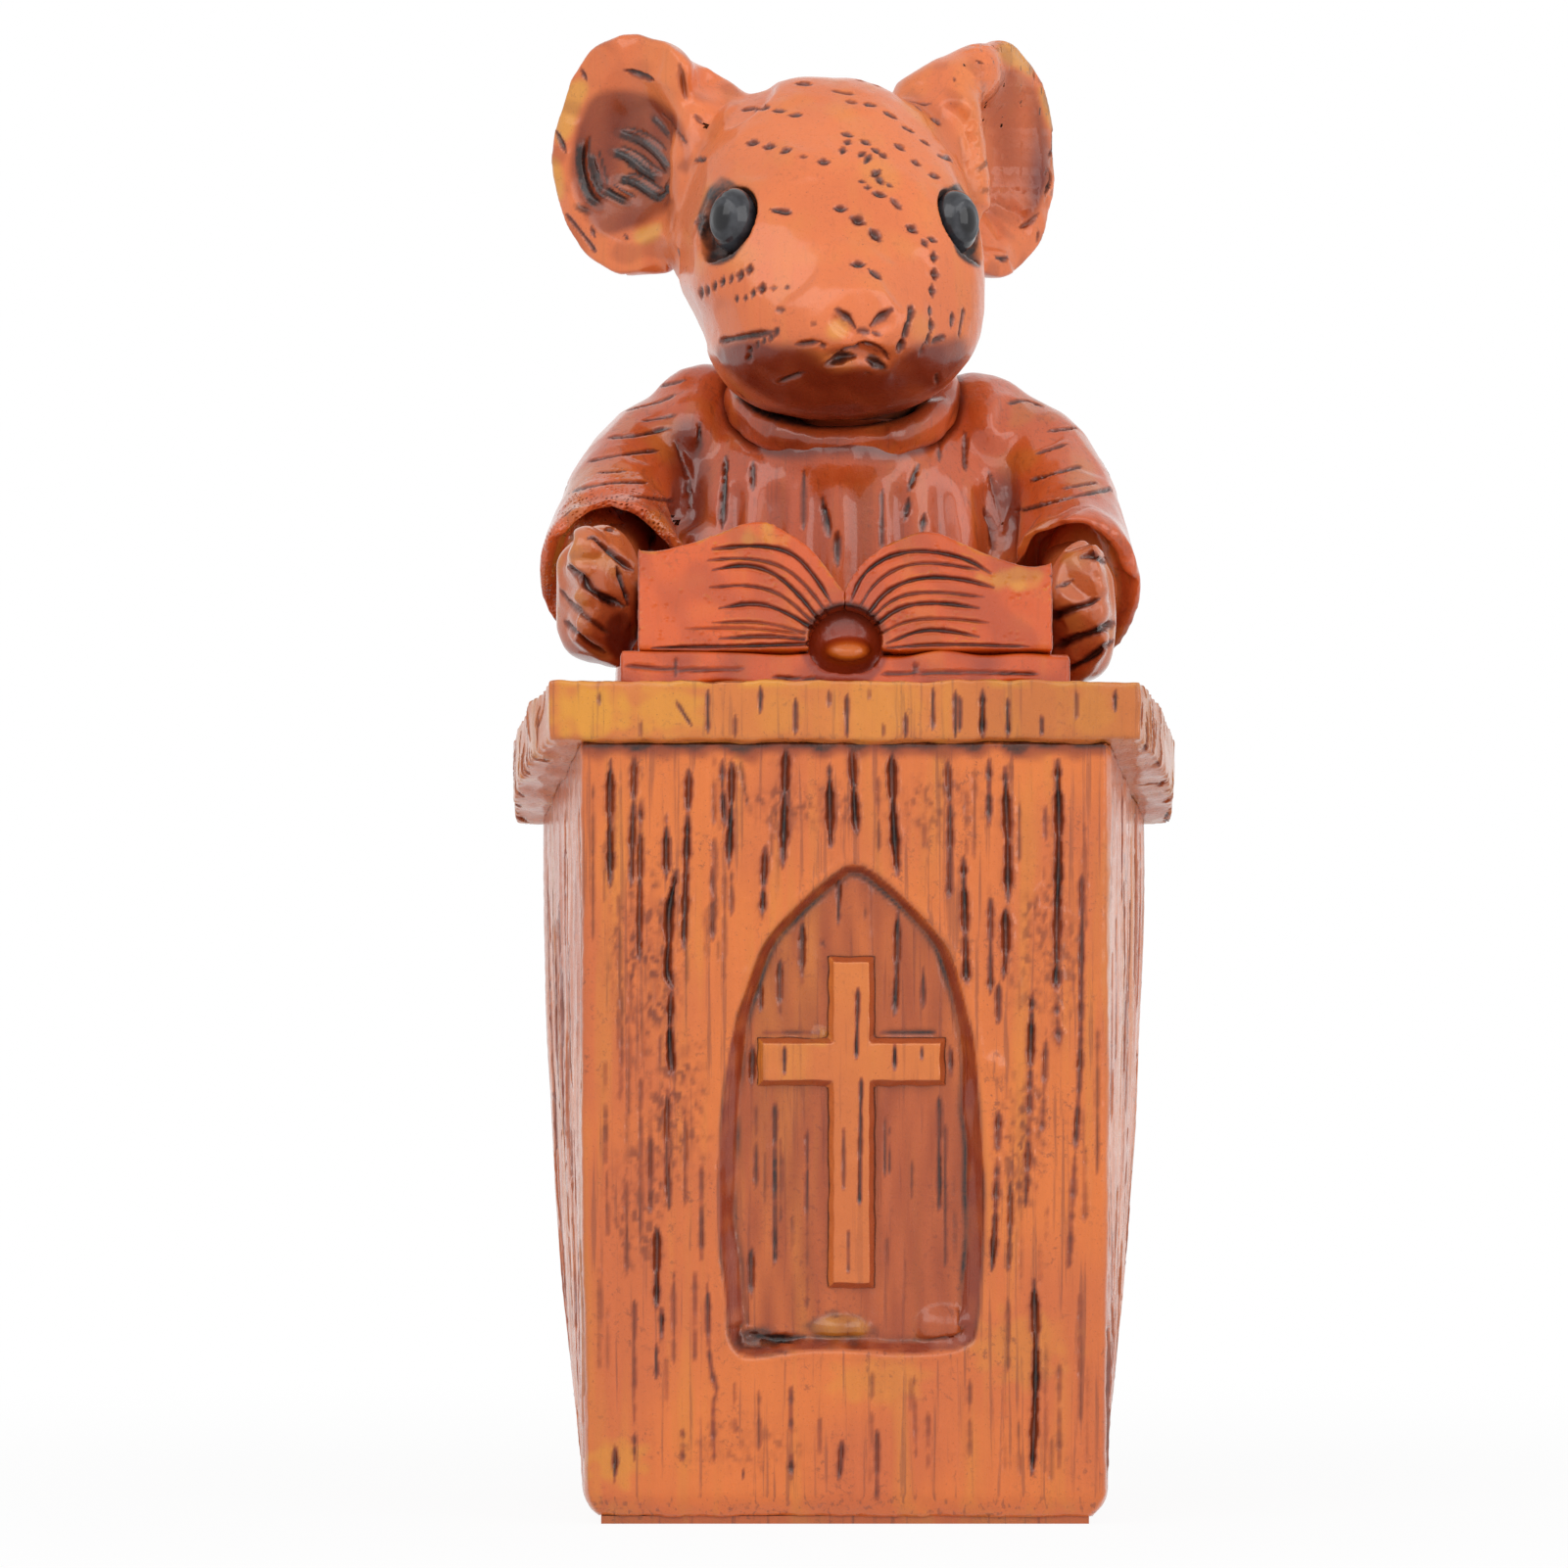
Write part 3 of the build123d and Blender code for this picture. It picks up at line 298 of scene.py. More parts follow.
# Cuts on the front of the robe
chest_cuts = cut_table(
    (-9.1, 69.1, -9.1, 66.9, 0.4, 0.9), (-7.5, 66.9, -7.7, 62.4, 0.45, 0.9),
    (-1.5, 64.4, -1.0, 61.9, 0.45, 1), (-0.5, 62.2, -0.5, 60.0, 0.4, 0.9), (4.6, 66.4, 4.0, 64.8, 0.4, 1),
    (4.0, 64.4, 3.7, 62.9, 0.35, 0.9), (5.0, 63.4, 4.8, 62.2, 0.4, 1), (-5.8, 66.6, -5.8, 64.8, 0.3, 0.7),
    (-9.7, 66.6, -9.7, 63.6, 0.35, 0.8), (-2.6, 66.0, -2.6, 62.3, 0.26, 0.6),
    (2.3, 64.8, 2.3, 61.1, 0.26, 0.6), (7.5, 68.5, 7.5, 66.0, 0.3, 0.6), (5.9, 69.1, 5.9, 66.6, 0.26, 0.6),
    (-5.1, 62.0, -5.3, 60.5, 0.3, 0.7),
)

# Painted shade in the deep hollow between the left sleeve and the chest
chest_shade_left = [
    (-10.9, 68.7), (-10.0, 69.4), (-9.1, 69.0), (-8.6, 66.6), (-8.6, 63.6), (-9.3, 61.1), (-10.0, 61.4),
    (-10.5, 63.6), (-11.0, 66.6),
]

# Cuts on the left sleeve
sleeve_left_cuts = cut_table(
    (-14.8, 68.1, -13.1, 68.2, -11.0, 68.7, 0.35, 0.9), (-13.7, 69.8, -11.7, 70.3, -10.6, 70.8, 0.3, 0.8),
    (-16.1, 66.6, -13.7, 67.1, -11.7, 67.3, 0.32, 0.8), (-17.0, 64.8, -14.9, 65.3, -12.4, 65.3, 0.34, 0.9),
    (-15.5, 65.9, -13.7, 66.0, 0.26, 0.7), (-12.0, 71.2, -10.0, 71.7, 0.28, 0.7),
    (-17.7, 63.1, -17.0, 63.7, 0.3, 0.8), (-13.7, 64.5, -10.6, 64.1, 0.3, 0.7),
    (-12.8, 69.1, -10.6, 69.5, 0.26, 0.7), (-10.6, 67.9, -10.0, 66.0, -9.8, 64.2, 0.3, 0.7),
)

# Cuts on the right sleeve
sleeve_right_cuts = cut_table(
    (11.6, 65.4, 13.3, 65.9, 14.8, 66.3, 0.32, 0.9), (10.6, 63.4, 13.9, 64.3, 17.8, 65.1, 0.34, 0.9),
    (10.2, 70.2, 11.3, 70.5, 12.4, 70.0, 0.3, 0.8), (12.0, 67.1, 13.9, 67.7, 0.28, 0.8),
    (12.7, 68.5, 14.5, 68.7, 0.26, 0.7), (11.5, 62.3, 14.5, 63.3, 17.6, 63.4, 0.3, 0.8),
    (9.0, 66.0, 9.6, 63.6, 0.3, 0.7), (13.6, 64.9, 15.8, 65.3, 0.26, 0.7),
)

# Mouth of the left sleeve
sleeve_left_mouth = [
    (-19.0, 60.8), (-18.6, 62.3), (-17.5, 63.7), (-15.9, 64.6), (-14.2, 64.7), (-12.5, 64.1), (-11.3, 63.3),
    (-10.4, 62.1), (-10.0, 60.8), (-10.6, 56.2), (-18.6, 56.2),
]

# Mouth of the right sleeve
sleeve_right_mouth = [
    (11.5, 60.8), (13.2, 62.1), (15.1, 62.6), (16.9, 62.1), (18.1, 61.0), (18.6, 59.2), (18.5, 56.2),
    (17.6, 53.1), (11.5, 53.1),
]

# Black cuts between the left fingers
hand_left_cuts = cut_table(
    (-17.4, 60.0, -16.6, 59.4, -15.9, 58.6, -15.1, 58.0, -13.9, 57.5, 0.56, 1),
    (-17.9, 58.6, -17.3, 57.7, -16.3, 57.0, -15.6, 56.5, -14.7, 55.8, 0.36, 0.55),
    (-17.6, 56.6, -16.7, 55.7, -15.9, 55.0, -15.0, 54.6, 0.36, 0.7),
    (-16.1, 61.8, -15.7, 61.9, -15.1, 61.3, -14.5, 60.8, -13.8, 60.2, -13.3, 59.8, 0.46, 1),
    (-15.0, 62.3, -14.2, 62.5, -13.3, 62.3, 0.4, 0.9),
    (-14.3, 60.0, -14.0, 59.1, -13.6, 58.1, -13.6, 57.6, 0.42, 0.95),
)

# Deep shade at the foot of the left fist
hand_left_shade = [
    (-15.0, 56.9), (-13.4, 57.4), (-13.2, 54.7), (-14.2, 54.0), (-15.1, 54.9),
]

# Black cuts between the right fingers
hand_right_cuts = cut_table(
    (12.8, 56.8, 13.8, 57.2, 14.8, 57.6, 15.9, 58.0, 0.5, 1),
    (13.1, 55.0, 14.3, 55.5, 15.5, 55.9, 16.9, 56.5, 0.52, 1),
    (13.8, 53.5, 14.8, 54.0, 15.9, 54.7, 17.0, 55.5, 0.46, 1), (14.8, 60.6, 15.5, 60.8, 16.3, 60.3, 0.5, 0.9),
    (13.2, 58.7, 14.3, 59.2, 0.3, 0.6),
)

# Black hair strands in the left ear's cup
ear_left_strands = cut_table(
    (-16.5, 86.6, -16.6, 84.9, -16.1, 83.3, -15.4, 82.6, 0.75, 1),
    (-16.0, 85.9, -15.6, 84.6, -15.3, 83.4, 0.6, 0.9),
    (-14.6, 86.0, -13.5, 85.6, -12.4, 84.6, -11.7, 84.3, 0.7, 1),
    (-14.2, 87.2, -12.8, 86.7, -11.7, 85.8, -11.0, 84.8, 0.7, 0.9),
    (-14.2, 84.3, -13.2, 84.1, -12.1, 83.3, -11.4, 83.0, -11.0, 84.1, 0.7, 1),
    (-12.1, 88.2, -11.3, 87.4, -10.4, 86.1, 0.5, 0.8), (-15.1, 83.7, -14.6, 83.3, -13.6, 82.8, 0.65, 1),
    (-16.9, 82.6, -16.0, 82.2, 0.5, 0.7), (-13.7, 85.3, -13.0, 84.9, -12.6, 84.4, 0.4, 0.8),
)

# Nicks on the left ear's rim
ear_left_cuts = cut_table(
    (-16.5, 91.1, -16.2, 90.5, 0.5, 1), (-13.8, 91.1, -12.8, 90.8, -12.0, 90.5, 0.42, 0.8),
    (-18.3, 87.7, -17.5, 86.0, 0.3, 0.8), (-17.5, 82.1, -16.5, 80.9, -15.6, 79.7, 0.26, 0.7),
    (-15.9, 81.2, -15.7, 80.7, 0.6, 0.9), (-13.8, 80.8, -13.6, 80.5, 0.4, 0.9),
    (-10.4, 91.4, -10.0, 89.4, 0.6, 0.4), (-9.4, 88.3, -8.9, 87.7, 0.5, 0.5),
    (-9.4, 85.5, -8.7, 85.5, 0.4, 0.9),
)

# Cup of the left ear, as seen from the front
ear_left_cup = [
    (-17.0, 86.6), (-16.7, 87.8), (-16.1, 89.2), (-15.2, 89.8), (-13.7, 89.9), (-12.1, 89.5), (-10.9, 88.6),
    (-10.0, 87.4), (-9.7, 86.0), (-9.8, 84.4), (-10.3, 83.2), (-11.2, 82.3), (-12.4, 81.5), (-13.7, 81.1),
    (-14.8, 80.7), (-15.7, 81.1), (-16.4, 82.2), (-17.0, 83.5), (-17.3, 85.0),
]

# Cup of the right ear
ear_right_cup = [
    (9.0, 90.6), (10.3, 91.4), (11.4, 90.6), (12.0, 89.9), (12.4, 88.1), (12.9, 86.3), (12.9, 84.4),
    (12.4, 83.3), (12.0, 82.1), (11.3, 81.7), (10.6, 81.2), (9.8, 81.7), (8.8, 82.1), (7.8, 83.3),
    (7.7, 84.9), (7.7, 86.6), (8.2, 89.0), (8.6, 89.9),
]

# Yellow patches on the ears' rims
ear_left_gold = [
    [(-18.2, 89.0), (-17.4, 90.3), (-16.3, 90.6), (-16.0, 89.8), (-16.7, 88.6), (-17.1, 86.9), (-18.2, 86.3)],
    [(-18.6, 85.8), (-17.7, 85.3), (-17.6, 82.9), (-18.3, 83.1)],
    [(-13.3, 81.0), (-12.3, 81.4), (-11.4, 81.6), (-11.7, 80.4), (-13.1, 80.1)],
]

ear_right_gold = [
    [(9.5, 92.8), (10.5, 93.0), (11.8, 91.5), (11.7, 90.6), (10.9, 91.2), (9.8, 91.6)],
    [(12.1, 90.2), (12.7, 89.5), (13.4, 87.8), (12.9, 87.2), (12.3, 88.8)],
    [(13.0, 85.8), (13.7, 86.3), (13.7, 84.9), (13.1, 84.4)],
]

# Dark hair strands in the right ear's cup
ear_right_strands = cut_table(
    (8.3, 84.8, 8.8, 85.3, 9.4, 85.7, 0.4, 0.5), (8.5, 83.5, 9.3, 83.7, 9.9, 83.6, 10.3, 83.3, 0.35, 0.4),
)

# Nicks on the right ear's rim
ear_right_cuts = cut_table(
    (13.4, 86.6, 12.9, 86.0, 12.7, 85.7, 0.32, 0.9), (12.7, 84.9, 12.9, 84.3, 12.5, 83.4, 0.42, 0.95),
    (11.9, 91.4, 11.8, 90.6, 0.34, 0.6), (8.2, 91.7, 8.6, 91.5, 0.34, 0.7), (6.8, 90.6, 6.9, 90.4, 0.3, 0.6),
    (12.1, 82.1, 11.6, 81.6, 10.9, 81.2, 0.3, 0.5), (9.4, 79.4, 10.0, 79.2, 10.2, 79.4, 0.4, 0.8),
    (12.0, 80.4, 12.1, 81.0, 0.35, 0.6),
)

# Leaf edges at the head of the left page block
page_left_lines = cut_table(
    (-8.3, 61.1, -5.7, 61.4, -3.3, 61.0, -1.8, 59.3, -0.8, 57.6, 0.3, 0.9),
    (-8.6, 60.4, -6.3, 60.6, -3.9, 60.1, -2.3, 58.7, -1.0, 56.9, 0.22, 0.6),
    (-8.3, 59.8, -6.3, 60.2, -4.5, 59.7, -2.9, 58.3, -1.5, 56.5, 0.3, 0.9),
    (-8.5, 58.7, -6.0, 58.9, -3.9, 58.3, -1.7, 56.2, 0.22, 0.6),
    (-7.9, 57.4, -5.7, 57.8, -3.9, 57.3, -1.8, 56.0, 0.3, 0.9),
    (-8.3, 56.5, -5.1, 56.6, -2.0, 55.7, 0.2, 0.5), (-7.9, 55.5, -4.8, 55.7, -2.1, 55.4, 0.26, 0.7),
    (-12.1, 54.9, -7.5, 55.0, -2.0, 55.2, 0.3, 0.9), (-10.0, 56.1, -6.3, 56.2, -2.6, 55.8, 0.2, 0.4),
)

# Leaf edges at the head of the right page block
page_right_lines = cut_table(
    (0.3, 57.7, 1.0, 59.5, 2.6, 60.7, 4.7, 61.1, 7.5, 60.6, 9.1, 59.6, 0.3, 0.95),
    (0.8, 57.3, 1.8, 59.0, 3.5, 60.1, 5.6, 60.3, 8.4, 59.8, 0.22, 0.6),
    (1.3, 56.9, 2.6, 58.6, 4.7, 59.4, 7.2, 59.3, 9.3, 58.7, 0.3, 0.9),
    (1.5, 56.6, 3.0, 58.1, 5.3, 58.5, 8.7, 58.1, 0.22, 0.6),
    (1.7, 56.2, 3.5, 57.6, 5.9, 57.8, 8.4, 57.4, 0.3, 0.9),
    (2.0, 55.7, 3.9, 56.7, 6.3, 56.8, 9.0, 56.5, 0.22, 0.5),
    (2.6, 55.2, 4.7, 56.1, 6.6, 56.0, 8.4, 55.6, 0.28, 0.8), (2.6, 54.9, 5.9, 55.2, 11.5, 55.0, 0.24, 0.7),
)

# Nicks along the cover's edge
cover_cuts = cut_table(
    (-13.7, 53.8, -10.0, 53.5, -6.3, 53.6, 0.24, 0.6), (2.3, 53.3, 7.2, 53.4, 12.1, 53.3, 0.24, 0.7),
    (-10.6, 54.3, -10.6, 53.1, 0.2, 0.6), (4.4, 54.1, 4.4, 53.1, 0.24, 0.7),
    (-4.5, 53.1, -1.4, 52.9, 0.24, 0.8),
)

# Black paint round the eyes
eye_left_ring = [
    (-8.16, 84.7), (-8.95, 84.0), (-9.25, 82.65), (-9.35, 81.6), (-9.1, 80.5), (-8.4, 79.5), (-7.5, 79.2),
    (-6.5, 79.7), (-5.9, 81.3), (-5.9, 82.9), (-6.8, 84.0),
]
eye_right_ring = [
    (6.6, 84.0), (7.6, 84.0), (8.25, 82.9), (8.5, 81.3), (8.25, 79.7), (7.6, 79.3), (6.9, 80.2), (6.25, 81.6),
    (6.25, 82.9),
]

# Rounds of resin between the skull and the ears: place, radius
ear_webs = (
    ((-9.4, 4.8, 91.6), 2.0), ((-8.2, 4.8, 90.6), 2.0), ((-6.9, 4.8, 89.9), 1.9), ((3.9, 7.2, 91.0), 1.7),
    ((5.5, 7.2, 91.7), 1.9), ((7.0, 7.2, 92.5), 2.0), ((8.6, 7.8, 93.0), 2.1), ((-10.3, 2.6, 81.2), 1.5),
    ((-9.9, 2.2, 83.0), 1.6), ((-9.9, 2.2, 85.2), 1.7), ((-9.8, 2.6, 87.4), 1.8), ((-9.4, 3.4, 89.6), 1.9),
    ((7.5, 5.4, 90.4), 1.9), ((7.9, 5.6, 88.2), 1.8), ((8.3, 5.8, 86.0), 1.7), ((8.6, 6.0, 84.0), 1.5),
)


# Working a piece on the bench
def ease(value):
    """Smooth step from 0 to 1."""
    held = np.clip(value, 0, 1)
    return held * held * (3 - 2 * held)


def bell(value, width):
    """1 where the value is 0, falling off evenly on both sides."""
    return np.exp(-((value / width) ** 2))


def curved(path):
    """A path with its corners rounded off and its ends kept."""
    corners = np.array(path, float)
    for _ in range(2):
        if len(corners) > 2:
            first, second = corners[:-1], corners[1:]
            between = np.stack([0.75 * first + 0.25 * second, 0.25 * first + 0.75 * second], 1)
            corners = np.vstack([corners[:1], between.reshape(-1, corners.shape[1]), corners[-1:]])
    return corners


def inside_outline(points, outline):
    """Distance from each point inwards from a closed outline, below 0 outside it."""
    corners = np.array(outline)
    for _ in range(2):
        after = np.roll(corners, -1, 0)
        corners = np.stack([0.75 * corners + 0.25 * after, 0.25 * corners + 0.75 * after], 1).reshape(-1, 2)
    away = np.full(len(points), np.inf)
    held = np.zeros(len(points), bool)
    for start, end in zip(corners, np.roll(corners, -1, 0)):
        span = end - start
        share = np.clip((points - start) @ span / (span @ span), 0, 1)
        away = np.minimum(away, np.linalg.norm(points - start - share[:, None] * span, axis=1))
        crossed = (start[1] > points[:, 1]) != (end[1] > points[:, 1])
        reach = start[0] + (points[:, 1] - start[1]) / (span[1] if span[1] else 1) * span[0]
        held ^= crossed & (points[:, 0] < reach)
    return np.where(held, away, -away)


class Piece:
    """A piece on the bench: its points in millimetres, and the stain that follows them."""

    def __init__(self, name, mesh):
        self.mesh = mesh
        self.thing = bpy.data.objects.new(name, mesh)
        bpy.context.scene.collection.objects.link(self.thing)
        flat = np.empty(len(mesh.vertices) * 3, np.float32)
        mesh.vertices.foreach_get("co", flat)
        self.points = flat.reshape(-1, 3).astype(float) * metre
        ends = np.empty(len(mesh.edges) * 2, np.int32)
        mesh.edges.foreach_get("vertices", ends)
        self.ends = ends.reshape(-1, 2)
        self.valence = np.maximum(np.bincount(ends, minlength=len(self.points)), 1)
        self.wash = np.zeros(len(self.points))
        # Deep-coloured layer: real glaze and rust, and also painted shade on undersides, in recesses and
        # under the desk
        self.glaze_and_shade = np.zeros(len(self.points))
        self.amber = np.zeros(len(self.points))
        self.rest()

    def rest(self):
        """Takes the carved points as the surface that the next tools work on."""
        self.mesh.vertices.foreach_set("co", (self.points / metre).astype(np.float32).ravel())
        self.mesh.update()
        flat = np.empty(len(self.points) * 3, np.float32)
        self.mesh.vertex_normals.foreach_get("vector", flat)
        self.normals = flat.reshape(-1, 3).astype(float)
        self.tree = BVHTree.FromObject(self.thing, bpy.context.evaluated_depsgraph_get())
        self.carved = np.zeros(len(self.points))
        self.raised = np.zeros(len(self.points))

    def settle(self):
        """Moves the surface by what was carved and raised."""
        self.points += self.normals * (self.raised - self.carved)[:, None]
        self.rest()

    def averaged(self, values, rounds):
        """Values shared out between neighbouring points."""
        first, second = self.ends[:, 0], self.ends[:, 1]
        for _ in range(rounds):
            total = np.zeros_like(values)
            for column in range(values.shape[1]):
                count = len(values)
                total[:, column] = np.bincount(first, values[second, column], count)
                total[:, column] += np.bincount(second, values[first, column], count)
            values = 0.5 * values + 0.5 * total / self.valence[:, None]
        return values

    def soften(self, rounds, chosen=1.0):
        """Rounds the surface where it is chosen."""
        share = np.broadcast_to(chosen, len(self.points))[:, None]
        self.points += share * (self.averaged(self.points, rounds) - self.points)
        self.rest()

    def ripple(self, length, seed, stretch=(1, 1, 1)):
        """Smooth wandering field from about -1 to 1, with waves of about one length."""
        dice = np.random.default_rng(seed)
        total = np.zeros(len(self.points))
        stretched = self.points * np.array(stretch)
        for _ in range(9):
            way = dice.normal(size=3)
            way *= 2 * pi / (np.linalg.norm(way) * length * dice.uniform(0.7, 1.4))
            total += np.sin(stretched @ way + dice.uniform(0, 2 * pi))
        return total / 3

    def away_from(self, place, reach=1):
        """Distance from each point to a place, as a share of the reach."""
        return np.linalg.norm((self.points - np.array(place)) / np.array(reach), axis=1)

    # Coordinates of the points
    x = property(lambda self: self.points[:, 0])
    y = property(lambda self: self.points[:, 1])
    z = property(lambda self: self.points[:, 2])

    def fronted(self):
        """Where the camera sees each point in the plane of the tables."""
        eye = np.array(eye_place)
        share = (front_plane - eye[1]) / (self.y - eye[1])
        return eye[[0, 2]] + (self.points[:, [0, 2]] - eye[[0, 2]]) * share[:, None]

    def front_gap(self, place, reach=1):
        """Distance from each point to a place of the front view, as a share of the reach."""
        return np.linalg.norm((self.fronted() - np.array(place)) / np.array(reach), axis=1)

    def within(self, outline, soft):
        """How far each point that faces the camera lies inside a front-view outline, from 0 to 1."""
        facing = ease(0.5 - 2.5 * self.normals[:, 1])
        return facing * ease(inside_outline(self.fronted(), outline) / soft + 0.5)

    def gap_to(self, node):
        """Distance from each point to a CAD node."""
        rough = roughed(node)
        skin = BVHTree.FromBMesh(rough)
        rough.free()
        return np.array([skin.find_nearest(Vector(place) / metre)[3] * metre for place in self.points])

    def seen(self, x, z, behind=False):
        """Where the sight line through a point of the front plane meets this piece."""
        way = (Vector((x, front_plane, z)) - eye_place).normalized()
        start = eye_place + way * beyond_figurine if behind else eye_place
        place = self.tree.ray_cast(start / metre, -way if behind else way)[0]
        return None if place is None else place * metre

    def traced(self, path, behind=False):
        """A front-view path laid on the surface in short steps."""
        laid = []
        smooth = curved(path)
        for (x0, z0), (x1, z1) in zip(smooth, smooth[1:]):
            count = max(2, ceil(np.hypot(x1 - x0, z1 - z0) / trace_step))
            for share in np.linspace(0, 1, count):
                place = self.seen(x0 + share * (x1 - x0), z0 + share * (z1 - z0), behind)
                if place is None or (laid and not shortest_step < (place - laid[-1]).length < longest_step):
                    continue
                laid.append(place)
        return np.array(laid)

    def run(self, start, way, length):
        """A path that follows the surface from a point, in the direction of a vector."""
        laid = [Vector(start)]
        for _ in range(max(2, ceil(length / (2 * trace_step)))):
            place = self.tree.find_nearest((laid[-1] + Vector(way) * 2 * trace_step) / metre)[0]
            laid.append(place * metre)
        return np.array(laid)

    def near(self, path, reach):
        """Points within reach of a path, how far they are from it, and how far along it they lie."""
        low, high = path.min(0) - reach, path.max(0) + reach
        picked = np.flatnonzero(((self.points > low) & (self.points < high)).all(1))
        points = self.points[picked]
        away = np.full(len(picked), np.inf)
        along = np.zeros(len(picked))
        gone = 0.0
        for start, end in zip(path, path[1:]):
            span = end - start
            length = max(np.linalg.norm(span), 1e-6)
            share = np.clip((points - start) @ span / length**2, 0, 1)
            distance = np.linalg.norm(points - start - share[:, None] * span, axis=1)
            closer = distance < away
            away[closer] = distance[closer]
            along[closer] = gone + share[closer] * length
            gone += length
        return picked, away, along, gone

    def fill(self, layer, picked, amount):
        """Raises a layer to an amount at the picked points, wherever it is lower there."""
        held = getattr(self, layer)
        held[picked] = np.maximum(held[picked], amount)

    def cut(self, path, width, dark=1.0, depth=0.75, burr=0.12, taper=2.0, ragged=0.12):
        """A knife cut along a path: dark wash in its bed, rust at its edges, and a thin burr."""
        if len(path) < 2:
            return
        picked, away, along, length = self.near(path, width * 2.2)
        ends = ease(np.minimum(along, length - along) / (taper * width) + 0.15)
        phase = 41 * path[0, 0] + 17 * path[0, 2]
        fray = np.sin(along * 1.7 + phase) + 0.6 * np.sin(along * 3.9 + 2 * phase)
        fray += 0.4 * np.sin(along * 8.6 + 3 * phase)
        wander = 1 + 0.1 * np.sin(along * 1.3 + phase) + ragged * fray
        half = width / 2 * (0.35 + 0.65 * ends) * wander
        hollow = np.clip(1 - (away / half) ** 2, 0, 1)
        self.fill("carved", picked, depth * width * hollow * (0.3 + 0.7 * ends))
        lip = burr * width * bell(away - 1.35 * half, 0.35 * half)
        self.fill("raised", picked, lip)
        ink = ease((dark - 0.1) / 0.8) * ease((half - away) / (0.6 * half)) * (0.35 + 0.65 * ends)
        self.fill("wash", picked, ink * (1 - ragged * (1 + np.sin(along * 1.1 + phase))))
        rust = 0.85 * ease(1.4 * dark) * ease((1.8 * half - away) / (0.9 * half))
        self.fill("glaze_and_shade", picked, rust)

    def cuts(self, table, wider=1.0, darker=1.0, depth=0.8):
        """Lays a front-view table of cuts on the surface."""
        for path, width, dark in table:
            self.cut(self.traced(path), wider * width, darker * dark, depth=depth)

    def gouge(self, path, width, depth, pool=0.0):
        """A broad shallow furrow, or a ridge where the depth is below 0."""
        if len(path) < 2:
            return
        picked, away, along, length = self.near(path, width)
        ends = ease(np.minimum(along, length - along) / (0.8 * width) + 0.15)
        hollow = np.clip(1 - (2 * away / width) ** 2, 0, 1) ** 2 * ends
        self.carved[picked] += depth * hollow
        self.fill("glaze_and_shade", picked, pool * hollow)

    def strand(self, path, width, dark):
        """A raised dark roll of hair, with a sunk bed on each side."""
        if len(path) < 2:
            return
        picked, away, along, length = self.near(path, width * 1.6)
        ends = ease(np.minimum(along, length - along) / width + 0.1)
        roll = np.sqrt(np.clip(1 - (2 * away / width) ** 2, 0, 1)) * ends
        self.fill("raised", picked, 0.42 * width * roll)
        bed = bell(away - 0.72 * width, 0.25 * width)
        self.fill("carved", picked, 0.12 * width * bed)
        ink = dark * ease((0.95 * width - away) / (0.4 * width)) * (0.3 + 0.7 * ends)
        self.fill("wash", picked, ink)

    def facet(self, place, depth, reach, soft=0.7):
        """A flat chisel cut square to the surface at a place."""
        spot, normal = self.tree.find_nearest(Vector(place) / metre)[:2]
        over = (self.points - np.array(spot) * metre) @ np.array(normal) + depth
        close = 1 - np.linalg.norm(self.points - np.array(spot) * metre, axis=1) / reach
        self.points -= (soft * np.maximum(over, 0) * ease(close * 4))[:, None] * np.array(normal)

    def facets(self, count, seed, chosen, depth, reach):
        """Chisel facets over the chosen part of the surface, with their edges eased."""
        dice = np.random.default_rng(seed)
        for place in self.points[dice.choice(np.flatnonzero(chosen), count)]:
            self.facet(place, depth * dice.uniform(0.6, 1.3), reach * dice.uniform(0.8, 1.2))
        self.soften(1)

    def pocket(self, place, radii, way):
        """Presses the surface back against a round pocket, and says how near to its middle each point was."""
        offset = (self.points - np.array(place)) / np.array(radii)
        drive = np.array(way) / np.array(radii)
        reach = np.linalg.norm(offset, axis=1)
        inside = reach < 1
        slope = offset[inside] @ drive
        travel = slope + np.sqrt(slope**2 + (drive @ drive) * (1 - reach[inside] ** 2))
        self.points[inside] -= (travel / (drive @ drive))[:, None] * np.array(way)
        self.rest()
        return reach

    def joint(self, first, second, reach):
        """How close each point lies to the joint between two sets of gaps, from 0 to 1."""
        return ease((reach - np.maximum(first, second)) / (0.6 * reach))

    def blot(self, layer, place, reach, amount):
        """Stain round a place, fading out at its reach."""
        away = self.away_from(place, reach)
        self.stain(layer, amount * ease(1.6 * (1 - away) + 0.25 * self.ripple(1.3, 5)))

    def stain(self, layer, amount):
        """Lays stain wherever it is stronger than what is there."""
        held = getattr(self, layer)
        np.maximum(held, amount, out=held)

    def lump(self, place, reach, height):
        """A drop of resin that stands on the surface."""
        away = self.away_from(place, reach)
        self.raised += height * np.clip(1 - away**2, 0, 1) ** 1.5

    def creases(self, rounds, gain, layer="wash", start=0.0):
        """Stain that stays behind wherever the surface is hollow."""
        sunk = ((self.averaged(self.points, rounds) - self.points) * self.normals).sum(1)
        self.stain(layer, np.clip(gain * (sunk - start), 0, 1))

    def scatter(self, count, seed, chosen, way, length, width, dark, spread=0.12):
        """Loose cuts over the chosen part of the surface, running about one way."""
        dice = np.random.default_rng(seed)
        pool = np.flatnonzero(chosen)
        if not len(pool):
            return
        for index in dice.choice(pool, count):
            heading = np.array(way) + dice.normal(size=3) * spread
            heading -= self.normals[index] * (heading @ self.normals[index])
            heading /= max(np.linalg.norm(heading), 1e-6)
            path = self.run(self.points[index], heading, dice.uniform(*length))
            self.cut(path, dice.uniform(*width), dice.uniform(*dark))

